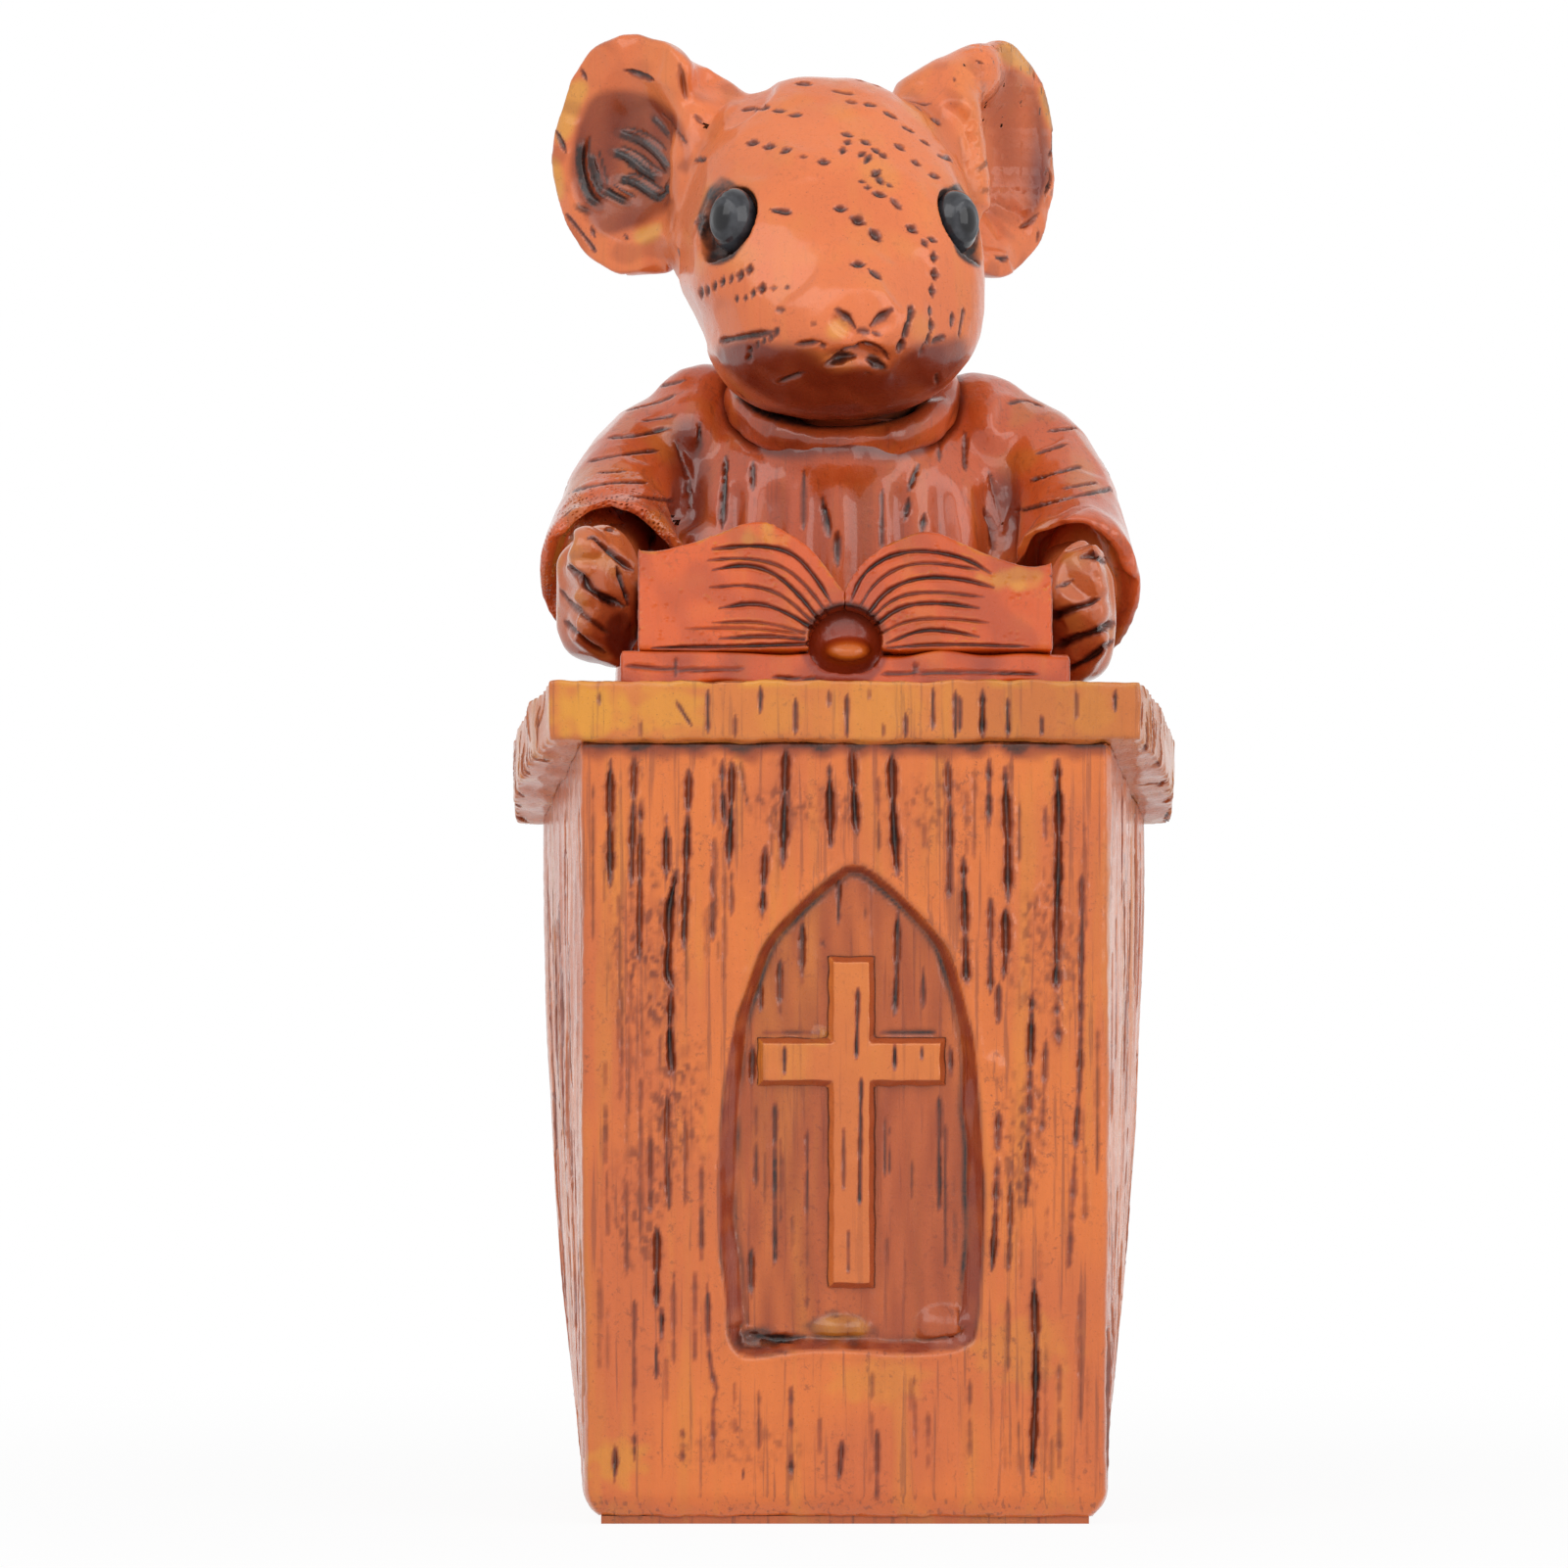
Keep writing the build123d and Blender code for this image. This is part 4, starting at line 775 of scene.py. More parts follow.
    def stained(self):
        """Keeps the piece within the solids' reach and writes its stain on it."""
        low, high = np.array(cad_bounds[0]) * metre, np.array(cad_bounds[1]) * metre
        self.points = np.clip(self.points, low, high)
        self.rest()
        for layer in ("wash", "glaze_and_shade", "amber"):
            held = self.mesh.attributes.new(layer, "FLOAT", "POINT")
            held.data.foreach_set("value", np.clip(getattr(self, layer), 0, 1).astype(np.float32))
        self.mesh.shade_smooth()

    def done(self, slot, finish, node):
        """Sets the piece in its place with its finish."""
        self.stained()
        placed(self.thing, finish, node)

    def parted(self, slot, finish, *nodes):
        """Parts the piece where its nodes join, and sets one piece for each node in its place."""
        nearest = np.argmin([self.gap_to(node) for node in nodes], axis=0)
        self.stained()
        for index, node in enumerate(nodes):
            share = bmesh.new()
            share.from_mesh(self.mesh)
            others, kept = [], set()
            for face in share.faces:
                if nearest[face.verts[0].index] == index:
                    kept.update(corner.index for corner in face.verts)
                else:
                    others.append(face)
            bmesh.ops.delete(share, geom=others, context="FACES")
            added = capped(share)
            mesh = bpy.data.meshes.new(node + "_carved")
            share.to_mesh(mesh)
            share.free()
            normals = self.normals[sorted(kept)].tolist() + [(0, 0, 1)] * added
            mesh.normals_split_custom_set_from_vertices(normals)
            thing = bpy.data.objects.new(node + "_carved", mesh)
            bpy.context.scene.collection.objects.link(thing)
            placed(thing, finish, node)
        bpy.data.objects.remove(self.thing)
        bpy.data.meshes.remove(self.mesh)


def capped(shape):
    """Closes each open rim of a parted piece with a fan to its middle, and counts the points added."""
    shape.edges.index_update()
    rims = {edge.index: edge for edge in shape.edges if edge.is_boundary}
    added = 0
    while rims:
        rim, ahead = [], [rims.pop(next(iter(rims)))]
        while ahead:
            edge = ahead.pop()
            rim.append(edge)
            for corner in edge.verts:
                ahead += [rims.pop(other.index) for other in corner.link_edges if other.index in rims]
        corners = {corner.index: corner for edge in rim for corner in edge.verts}
        middle = shape.verts.new(sum((corner.co for corner in corners.values()), Vector()) / len(corners))
        added += 1
        for start, end in [(edge.link_loops[0].vert, edge.link_loops[0].link_loop_next.vert) for edge in rim]:
            shape.faces.new((end, start, middle)).smooth = True
    return added


def placed(thing, finish, node):
    """Gives a piece its finish and its place on the figurine."""
    thing.data.materials.clear()
    thing.data.materials.append(finish)
    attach(thing, "root")
    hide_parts(node)


def blob(rough, place, radii, tilt=0.0):
    """Adds a rounded lump to a piece before it is worked."""
    shape = Matrix.Translation(Vector(place) / metre) @ Matrix.Rotation(radians(tilt), 4, "X")
    shape = shape @ Matrix.Diagonal((radii[0] / metre, radii[1] / metre, radii[2] / metre, 1))
    bmesh.ops.create_icosphere(rough, subdivisions=4, radius=1, matrix=shape)


def roughed(*nodes):
    """A workable copy of CAD nodes, with their seams merged."""
    rough = bmesh.new()
    for node in nodes:
        rough.from_mesh(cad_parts[node].data)
    bmesh.ops.remove_doubles(rough, verts=rough.verts, dist=1e-7)
    return rough


def cast_from(name, rough, grain, rounding):
    """One even skin over everything in the rough, with its edges rounded."""
    mesh = bpy.data.meshes.new(name)
    rough.to_mesh(mesh)
    rough.free()
    thing = bpy.data.objects.new(name + "_rough", mesh)
    bpy.context.scene.collection.objects.link(thing)
    skin = thing.modifiers.new("skin", "REMESH")
    skin.mode = "VOXEL"
    skin.voxel_size = grain / metre
    if rounding:
        rounded = thing.modifiers.new("rounding", "SMOOTH")
        rounded.factor = 0.5
        rounded.iterations = rounding
    done = bpy.data.meshes.new_from_object(thing.evaluated_get(bpy.context.evaluated_depsgraph_get()))
    bpy.data.objects.remove(thing)
    bpy.data.meshes.remove(mesh)
    return done


def refined(mesh, chosen):
    """The mesh with smaller faces where it is chosen."""
    fine = bmesh.new()
    fine.from_mesh(mesh)
    held = [chosen(corner.co * metre) for corner in fine.verts]
    fine.verts.index_update()
    edges = [edge for edge in fine.edges if held[edge.verts[0].index] and held[edge.verts[1].index]]
    bmesh.ops.subdivide_edges(fine, edges=edges, cuts=1, use_grid_fill=True)
    fine.to_mesh(mesh)
    fine.free()
    return mesh


def box(node):
    """A node's lowest and highest corners in millimetres."""
    low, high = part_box(node)
    return np.array(low) * metre, np.array(high) * metre


# Finishes
def node_in(tree, kind, **values):
    """A shader node with its settings, and its inputs given by number or name."""
    node = tree.nodes.new(kind)
    for name, value in values.items():
        if name.startswith("in_"):
            key = name[3:].replace("_", " ")
            socket = node.inputs[int(key)] if key.isdigit() else node.inputs[key]
            if isinstance(value, bpy.types.NodeSocket):
                tree.links.new(value, socket)
            else:
                socket.default_value = value
        else:
            setattr(node, name, value)
    return node


def dialled(node, **values):
    """Sets a node's own sockets, named without their spaces, and gives the node back."""
    for name, value in values.items():
        node.inputs[name.replace("_", " ")].default_value = value
    return node


def maths(tree, operation, first, second=0.0, clamp=False):
    """Two values or sockets, brought together by an operation."""
    node = node_in(tree, "ShaderNodeMath", operation=operation, use_clamp=clamp, in_0=first, in_1=second)
    return node.outputs[0]


def blended(tree, share, first, second, kind="MIX"):
    """Two colours or sockets, mixed by a share."""
    mix = node_in(tree, "ShaderNodeMix", data_type="RGBA", blend_type=kind, in_0=share)
    for socket, value in ((mix.inputs[6], first), (mix.inputs[7], second)):
        if isinstance(value, bpy.types.NodeSocket):
            tree.links.new(value, socket)
        else:
            socket.default_value = value
    return mix.outputs[2]


def stretched(tree, vector, scale):
    """A vector multiplied by a scale."""
    return node_in(tree, "ShaderNodeMapping", in_Vector=vector, in_Scale=scale).outputs[0]


def clouds(tree, vector, scale, detail=3.0, roughness=0.55):
    """A noise field from 0 to 1."""
    noise = node_in(
        tree, "ShaderNodeTexNoise", in_Vector=vector, in_Scale=scale, in_Detail=detail, in_Roughness=roughness
    )
    return noise.outputs["Fac"]


def spread_between(tree, value, low, high):
    """A value as a smooth step from 0 at the low to 1 at the high."""
    span = node_in(tree, "ShaderNodeMapRange", interpolation_type="SMOOTHSTEP", in_Value=value)
    return dialled(span, From_Min=low, From_Max=high).outputs[0]


def layer_in(tree, layer):
    """The stain that a piece carries in one layer."""
    held = node_in(tree, "ShaderNodeAttribute", attribute_name=layer, attribute_type="GEOMETRY")
    return held.outputs["Fac"]


def stained_resin_group():
    """Colour, roughness and fine relief of carved resin, from a place and three layers of stain, one of which
    also carries painted shade on undersides and in recesses.
    """
    group = bpy.data.node_groups.new("stained_resin", "ShaderNodeTree")
    face = group.interface
    face.new_socket("Place", in_out="INPUT", socket_type="NodeSocketVector")
    for name in ("Wash", "Glaze_and_shade", "Amber", "Grain", "Mottle", "Patches"):
        face.new_socket(name, in_out="INPUT", socket_type="NodeSocketFloat")
    for name in ("Base", "Second", "Yellow", "Deep", "Stain", "Ink"):
        face.new_socket(name, in_out="INPUT", socket_type="NodeSocketColor")
    face.new_socket("Color", in_out="OUTPUT", socket_type="NodeSocketColor")
    face.new_socket("Roughness", in_out="OUTPUT", socket_type="NodeSocketFloat")
    face.new_socket("Height", in_out="OUTPUT", socket_type="NodeSocketFloat")
    given = group.nodes.new("NodeGroupInput").outputs
    made = group.nodes.new("NodeGroupOutput").inputs

    scaled = stretched(group, given["Place"], (metre, metre, metre))
    drawn = stretched(group, scaled, (1.0, 1.0, 0.09))
    broad = clouds(group, scaled, 0.075, 2.0)
    middle = clouds(group, scaled, 0.32, 4.0)
    patchy = clouds(group, drawn, 0.42, 3.0)
    streaks = clouds(group, drawn, 1.6, 4.0, 0.6)
    combed = stretched(group, scaled, (1.0, 1.0, 0.035))
    lines = clouds(group, combed, 2.6, 2.0, 0.5)
    fine = clouds(group, scaled, 2.6, 4.0, 0.7)
    dust = clouds(group, scaled, 7.0, 2.0, 0.6)

    colour = blended(group, spread_between(group, broad, 0.36, 0.62), given["Base"], given["Second"])
    yellow = maths(group, "MULTIPLY", spread_between(group, patchy, 0.5, 0.68), given["Patches"])
    yellow = maths(group, "MAXIMUM", yellow, given["Amber"])
    colour = blended(group, yellow, colour, given["Yellow"])
    light = dialled(node_in(group, "ShaderNodeMapRange", in_Value=streaks), To_Min=0.78, To_Max=1.2)
    grey = node_in(
        group, "ShaderNodeCombineColor", in_0=light.outputs[0], in_1=light.outputs[0], in_2=light.outputs[0]
    )
    colour = blended(group, given["Grain"], colour, grey.outputs[0], "MULTIPLY")

    blotch = maths(
        group, "MULTIPLY", spread_between(group, fine, 0.52, 0.68), spread_between(group, middle, 0.46, 0.66)
    )
    thread = maths(group, "MULTIPLY", spread_between(group, lines, 0.56, 0.7), given["Grain"])
    worn = maths(group, "MAXIMUM", maths(group, "MULTIPLY", blotch, given["Mottle"]), thread)
    colour = blended(group, worn, colour, given["Stain"])
    colour = blended(group, given["Glaze_and_shade"], colour, given["Deep"])
    speck = maths(group, "MULTIPLY", spread_between(group, dust, 0.66, 0.74), 0.5)
    colour = blended(group, speck, colour, given["Stain"])
    broken = maths(group, "MULTIPLY", maths(group, "SUBTRACT", fine, 0.5), 0.9)
    ink = maths(group, "ADD", given["Wash"], maths(group, "MULTIPLY", broken, given["Wash"]), True)
    colour = blended(group, ink, colour, given["Ink"])
    group.links.new(colour, made["Color"])

    dull = maths(group, "MULTIPLY", fine, 0.3)
    group.links.new(maths(group, "ADD", dull, 0.16), made["Roughness"])
    relief = maths(group, "MULTIPLY", maths(group, "SUBTRACT", streaks, thread), given["Grain"])
    relief = maths(group, "ADD", relief, maths(group, "MULTIPLY", fine, 0.35))
    relief = maths(group, "ADD", relief, maths(group, "MULTIPLY", dust, 0.12))
    group.links.new(relief, made["Height"])
    return group


stained_resin = stained_resin_group()
ink_colour = (0.026, 0.011, 0.009, 1)


def lacquered(
    name, base, second, yellow, deep, stain, grain=0.5, mottle=0.6, patches=0.4, coat=0.6, blur=0.14
):
    """Stained resin under a coat of clear lacquer."""
    finish = bpy.data.materials.new(name)
    finish.use_nodes = True
    tree = finish.node_tree
    shader = tree.nodes["Principled BSDF"]
    place = node_in(tree, "ShaderNodeTexCoord").outputs["Object"]
    body = tree.nodes.new("ShaderNodeGroup")
    body.node_tree = stained_resin
    tree.links.new(place, body.inputs["Place"])
    for layer in ("wash", "glaze_and_shade", "amber"):
        tree.links.new(layer_in(tree, layer), body.inputs[layer.capitalize()])
    colours = {"Base": base, "Second": second, "Yellow": yellow, "Deep": deep, "Stain": stain}
    dialled(body, **{key: (*colour, 1) for key, colour in colours.items()})
    dialled(body, Grain=grain, Mottle=mottle, Patches=patches, Ink=ink_colour)
    tree.links.new(body.outputs["Color"], shader.inputs["Base Color"])
    tree.links.new(body.outputs["Roughness"], shader.inputs["Roughness"])
    bump = node_in(
        tree, "ShaderNodeBump", in_Height=body.outputs["Height"], in_Strength=0.7, in_Distance=0.00016
    )
    tree.links.new(bump.outputs[0], shader.inputs["Normal"])
    dialled(shader, Coat_Weight=coat, Coat_Roughness=blur, Coat_IOR=1.5, Specular_IOR_Level=0.25)
    return finish


pulpit_finish = lacquered(
    "pulpit_resin", base=(0.75, 0.185, 0.034), second=(0.63, 0.142, 0.036), yellow=(0.7, 0.27, 0.03),
    deep=(0.27, 0.038, 0.01), stain=(0.2, 0.05, 0.025), grain=0.5, mottle=0.6, patches=0.35,
)
cross_finish = lacquered(
    "cross_resin", base=(0.7, 0.19, 0.035), second=(0.64, 0.16, 0.035), yellow=(0.7, 0.28, 0.03),
    deep=(0.34, 0.05, 0.012), stain=(0.3, 0.07, 0.02), grain=0.3, mottle=0.3, patches=0.3,
)
desk_finish = lacquered(
    "desk_resin", base=(0.68, 0.2, 0.036), second=(0.62, 0.16, 0.036), yellow=(0.74, 0.3, 0.03),
    deep=(0.3, 0.05, 0.015), stain=(0.2, 0.06, 0.03), grain=0.35, mottle=0.45, patches=0.4,
)
book_finish = lacquered(
    "book_resin", base=(0.68, 0.095, 0.006), second=(0.58, 0.075, 0.005), yellow=(0.66, 0.23, 0.02),
    deep=(0.3, 0.03, 0.005), stain=(0.22, 0.04, 0.01), grain=0.1, mottle=0.4, patches=0.2, coat=0.4,
    blur=0.12,
)
robe_finish = lacquered(
    "robe_resin", base=(0.66, 0.118, 0.026), second=(0.55, 0.092, 0.022), yellow=(0.56, 0.21, 0.03),
    deep=(0.2, 0.026, 0.008), stain=(0.12, 0.03, 0.018), grain=0.25, mottle=0.4, patches=0.2, coat=0.8,
    blur=0.1,
)
fur_finish = lacquered(
    "fur_resin", base=(0.84, 0.21, 0.064), second=(0.76, 0.18, 0.055), yellow=(0.78, 0.32, 0.06),
    deep=(0.2, 0.026, 0.008), stain=(0.16, 0.04, 0.03), grain=0.08, mottle=0.22, patches=0.15, coat=0.5,
    blur=0.17,
)
paw_finish = lacquered(
    "paw_resin", base=(0.6, 0.14, 0.038), second=(0.52, 0.11, 0.03), yellow=(0.62, 0.25, 0.04),
    deep=(0.2, 0.026, 0.008), stain=(0.14, 0.035, 0.02), grain=0.08, mottle=0.25, patches=0.2, coat=0.8,
    blur=0.1,
)
base_finish = lacquered(
    "base_resin", base=(0.5, 0.12, 0.03), second=(0.4, 0.09, 0.025), yellow=(0.5, 0.2, 0.04),
    deep=(0.2, 0.03, 0.012), stain=(0.1, 0.03, 0.02),
)


def bead_finish():
    """Dark glass-like eye with a deeper middle."""
    finish = bpy.data.materials.new("eye_bead_gloss")
    finish.use_nodes = True
    tree = finish.node_tree
    shader = tree.nodes["Principled BSDF"]
    place = node_in(tree, "ShaderNodeTexCoord").outputs["Object"]
    cloud = clouds(tree, place, 900.0, 3.0)
    pupil = layer_in(tree, "wash")
    colour = blended(
        tree, spread_between(tree, cloud, 0.35, 0.65), (0.02, 0.021, 0.026, 1), (0.05, 0.052, 0.06, 1)
    )
    colour = blended(tree, pupil, colour, (0.008, 0.008, 0.01, 1))
    tree.links.new(colour, shader.inputs["Base Color"])
    tree.links.new(maths(tree, "MULTIPLY", cloud, 0.4), shader.inputs["Roughness"])
    dialled(shader, Coat_Weight=0.6, Coat_Roughness=0.05, Coat_IOR=1.4, Specular_IOR_Level=0.2)
    return finish


eye_finish = bead_finish()


# Pulpit
def stations():
    """Places along the pulpit's level section: left flank, front and right flank, each from 0 to 1."""
    low, high = box("pulpit_body")
    flank = np.linspace(0, 1, round((high[1] - low[1]) / flank_column) + 1) ** 0.85
    front = np.linspace(0, 1, round(front_width / front_column) + 1)
    section = [(0, 1 - share) for share in flank[::-1]]
    section += [(1, share) for share in front[1:]]
    section += [(2, share) for share in flank[1:]]
    return section


def pulpit_blank():
    """The plain pulpit block: a fine grid bent round its flanks and front, and closed behind."""
    low, high = box("pulpit_body")
    skin = BVHTree.FromObject(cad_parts["pulpit_body"], bpy.context.evaluated_depsgraph_get())

    def half_width(y, z):
        place = skin.ray_cast(Vector((60, y, z)) / metre, Vector((-1, 0, 0)))[0]
        return place.x * metre

    depth = high[1] - low[1]
    back_top = skin.ray_cast(Vector((0.5, high[1] - 0.3, 90)) / metre, Vector((0, 0, -1)))[0].z * metre
    section = stations()
    rows = round((high[2] - low[2]) / pulpit_row)
    grid = bmesh.new()
    bmesh.ops.create_grid(grid, x_segments=len(section) - 1, y_segments=rows, size=0.5)
    places = np.empty((rows + 1, len(section), 3))
    for row in range(rows + 1):
        share = row / rows
        rise = share * (high[2] - low[2])
        inset = foot_inset * (1 - np.sin(pi / 2 * min(1.0, rise / foot_rise)))
        front_y = low[1] + inset
        front_z = low[2] + rise
        back_z = low[2] + share * (back_top - low[2])
        front_level = min(max(front_z, low[2] + foot_rise), high[2] - 0.6)
        back_level = min(max(back_z, low[2] + foot_rise), back_top - 0.1)
        front_half = half_width(low[1] + foot_inset + 0.05, front_level) - inset
        back_half = half_width(high[1] - 0.1, back_level) - inset
        for column, (side, along) in enumerate(section):
            reach = along if side == 0 else 1 - along if side == 2 else 1
            y = high[1] + reach * (front_y - high[1])
            half = back_half + reach * (front_half - back_half)
            x = half * (2 * along - 1) if side == 1 else (-half if side == 0 else half)
            top = high[2] if side == 1 else high[2] + (y - low[1]) / depth * (back_top - high[2])
            places[row, column] = (x, y, low[2] + share * (top - low[2]))
    for _ in range(5):
        places[:, 1:-1, :2] += 0.5 * ((places[:, :-2, :2] + places[:, 2:, :2]) / 2 - places[:, 1:-1, :2])
    for corner in grid.verts:
        column = round((corner.co.x + 0.5) * (len(section) - 1))
        row = round((corner.co.y + 0.5) * rows)
        corner.co = Vector(places[row, column]) / metre
    ends = []
    for edge in grid.edges:
        first, second = (corner.co.y for corner in edge.verts)
        if edge.is_boundary and abs(first - second) < 1e-7 and min(first, second) > high[1] / metre - 1e-6:
            ends.append(edge)
    bmesh.ops.bridge_loops(grid, edges=ends)
    bmesh.ops.holes_fill(grid, edges=[edge for edge in grid.edges if edge.is_boundary], sides=0)
    bmesh.ops.recalc_face_normals(grid, faces=grid.faces)
    mesh = bpy.data.meshes.new("pulpit")
    grid.to_mesh(mesh)
    grid.free()
    return Piece("pulpit", mesh)


def upright(path, depth):
    """A front-view path laid on a flat wall at a depth."""
    return np.array([(x, depth, z) for x, z in curved(path)])


def carve_niche(pulpit):
    """Sinks the niche into the front: sloping walls in painted shade, an uneven floor and a thin black line
    round it.
    """
    x, z = pulpit.x, pulpit.z
    front = pulpit.normals[:, 1] < -0.75
    deep = inside_outline(pulpit.points[:, [0, 2]], niche_outline)
    wall = niche_wall_high + (niche_wall_low - niche_wall_high) * ease((38 - z) / 14)
    wall = np.where(z < niche_foot_height, niche_wall_foot, wall) * (1 + 0.05 * pulpit.ripple(5, 21))
    inside = front & (deep > 0)
    floor = inside & (deep > wall)
    share = np.clip(deep / wall, 0, 1)
    sunk = niche_depth * share**0.9 + 0.1 * bell(deep - wall * 1.05, 0.22)
    sunk += 0.05 * floor * pulpit.ripple(2.4, 31, (1, 1, 0.25))
    pulpit.points[:, 1] += np.where(inside, sunk, 0)
    lip = bell(deep + 0.25, 0.22) * front
    pulpit.points[:, 1] -= 0.07 * lip * (1 + 0.5 * pulpit.ripple(2, 33))
    pulpit.rest()
    pulpit.soften(1, bell(deep, 0.3) * front)
    rough = 1 + 0.15 * pulpit.ripple(1.6, 34)
    # Painted shade on the niche's sloping walls
    pulpit.stain(
        "glaze_and_shade", np.where(inside, 0.95 * ease((wall * 1.1 - deep) / 0.25) * ease(deep / 0.15), 0) * rough
    )
    pulpit.stain("glaze_and_shade", np.where(floor, 0.5 + 0.14 * pulpit.ripple(1.2, 35, (1, 1, 0.15)), 0))
    line = bell(deep - wall * 1.05, 0.17) * inside
    strong = 0.45 + 0.3 * pulpit.ripple(4.5, 36) + 0.7 * bell(z - 21, 4) * (x > 0)
    strong += 0.5 * ease((z - 30) / 6)
    pulpit.stain("wash", line * np.clip(strong, 0, 1))
    edge = bell(deep - 0.06, 0.12) * front
    pulpit.stain("wash", edge * (0.2 + 0.35 * pulpit.ripple(4, 38)))


def cut_front(pulpit, front, niche_floor, dice):
    """Cuts the pulpit's front and the niche's floor, and raises a thin curl of resin."""
    for path, width, dark in pulpit_cuts:
        pulpit.cut(upright(path, front), width, 0.9 * dark, depth=0.8, burr=0.3, taper=2.5, ragged=0.24)
    # The niche's cuts include painted shadow lines along the cross's arms
    for path, width, dark in niche_cuts:
        pulpit.cut(upright(path, niche_floor), width, dark, depth=0.7, burr=0.12, taper=2.5, ragged=0.2)
    for _ in range(front_nicks):
        cut_x = dice.uniform(-15.6, 15.6)
        top = 48 - 43 * dice.uniform(0, 1) ** 1.3
        length = dice.uniform(1.5, 7)
        path = [(cut_x, top), (cut_x + dice.uniform(-0.1, 0.1), max(top - length, 2.6))]
        if inside_outline(np.array(path), niche_outline).max() < -0.6:
            pulpit.cut(
                upright(path, front), dice.uniform(0.14, 0.26), dice.uniform(0.1, 0.5), depth=0.6, burr=0.2,
                taper=2.0, ragged=0.3,
            )
    curl = [(12.3, 40.0), (11.9, 39.6), (12.0, 38.8), (12.3, 38.4), (13.1, 38.3), (13.9, 38.4), (14.4, 37.9)]
    picked, away = pulpit.near(upright(curl, front), 0.5)[:2]
    pulpit.raised[picked] += 0.16 * bell(away, 0.12)


def cut_flanks(pulpit, low, high, dice):
    """Cuts down the pulpit's two flanks."""
    for side in (-1, 1):
        for _ in range(flank_cuts):
            depth_y = low[1] + 0.7 + (high[1] - low[1] - 1.4) * dice.uniform(0, 1)
            top, length = dice.uniform(5, 47), dice.uniform(2.5, 17)
            path = []
            for level in np.linspace(top, max(top - length, 3.0), max(3, int(length / 1.2))):
                start = Vector((side * 60, depth_y, level))
                place = pulpit.tree.ray_cast(start / metre, Vector((-side, 0, 0)))[0]
                if place is not None:
                    path.append(np.array(place) * metre)
                depth_y += dice.uniform(-0.06, 0.06)
            pulpit.cut(np.array(path), dice.uniform(0.22, 0.46), dice.uniform(0.2, 0.8), depth=0.7)


def make_pulpit():
    """The pulpit block: grained, with its niche, cuts, drops of resin, smoke and gold."""
    pulpit = pulpit_blank()
    low, high = box("pulpit_body")
    x, y = pulpit.points.T[:2]
    flank = np.abs(pulpit.normals[:, 0]) > 0.6
    pulpit.raised += 0.07 * pulpit.ripple(7, 3, (1, 1, 0.35)) + 0.035 * pulpit.ripple(2.2, 4, (1, 1, 0.2))
    pulpit.raised += 0.022 * pulpit.ripple(0.9, 5, (1, 1, 0.07)) + 0.01 * pulpit.ripple(0.8, 6)
    corner = bell(np.abs(x) - high[0] + 2.4, 0.6) * (y < low[1] + 1.2)
    pulpit.raised += 0.07 * corner * pulpit.ripple(2.0, 8)
    pulpit.raised += 0.035 * flank * pulpit.ripple(1.1, 9, (0.3, 1, 0.06))
    pulpit.settle()
    carve_niche(pulpit)

    niche_floor = low[1] + niche_depth
    dice = np.random.default_rng(11)
    cut_front(pulpit, low[1], niche_floor, dice)
    cut_flanks(pulpit, low, high, dice)
    pulpit.settle()
    pulpit.lump((9.4, low[1], 28.7), (0.8, 0.8, 1.1), 0.3)
    pulpit.lump((6.2, niche_floor, 12.4), (2.1, 1.6, 1.5), 0.8)
    pulpit.lump((-0.3, niche_floor, 12.3), (2.1, 2.0, 0.9), 0.5)
    pulpit.lump((-1.7, niche_floor, 30.6), (0.8, 0.6, 0.7), 0.25)
    for spot in np.random.default_rng(17).uniform((-15.5, 2.5), (15.5, 48), (resin_specks, 2)):
        pulpit.lump((spot[0], low[1], spot[1]), (0.16, 0.3, 0.2), -0.1 if spot[1] > 20 else 0.1)
    pulpit.settle()
    # Painted shadow of the desk in a band along the top of the front, and a dark line where the desk sits on
    # it
    top = pulpit.z - high[2] + 0.25 * pulpit.ripple(2.0, 15)
    pulpit.stain("glaze_and_shade", 0.8 * ease((top + 1.2) / 0.7) * (pulpit.normals[:, 1] < -0.6))
    pulpit.stain("wash", 0.8 * ease((top + 0.5) / 0.3) * (pulpit.normals[:, 1] < -0.4))
    speck = ease(0.42 + 0.9 * pulpit.ripple(0.6, 13, (1, 1, 0.7)) * pulpit.ripple(1.4, 14))
    for (x, z), (wide, tall), amount in pulpit_smoke:
        place, reach = (x, low[1], z), (wide, 2, tall)
        pulpit.blot("glaze_and_shade", place, reach, 1.5 * amount * speck)
        pulpit.blot("wash", place, reach, 0.7 * amount * ease(2 * speck - 1.1))
    for (x, z), (wide, tall), amount in pulpit_gold:
        pulpit.blot("amber", (x, low[1], z), (wide, 2, tall), amount)
    pulpit.blot("wash", (-0.3, niche_floor, 12.2), (2.5, 3.0, 1.3), 0.7)
    drop = np.linalg.norm((pulpit.points[:, [0, 2]] - (-0.3, 12.3)) / (1.9, 0.85), axis=1)
    pulpit.wash *= 1 - 0.85 * ease((1.05 - drop) / 0.3)
    pulpit.stain("amber", ease((1.1 - drop) / 0.3))
    pulpit.blot("amber", (-1.7, niche_floor, 30.6), (0.9, 1.6, 0.8), 0.9)
    pulpit.blot("wash", (-5.6, niche_floor, 11.6), (1.9, 1.4, 1.0), 0.75)
    pulpit.creases(rounds=6, gain=4.0, start=0.04)
    pulpit.done("resin_pulpit", pulpit_finish, "pulpit_body")


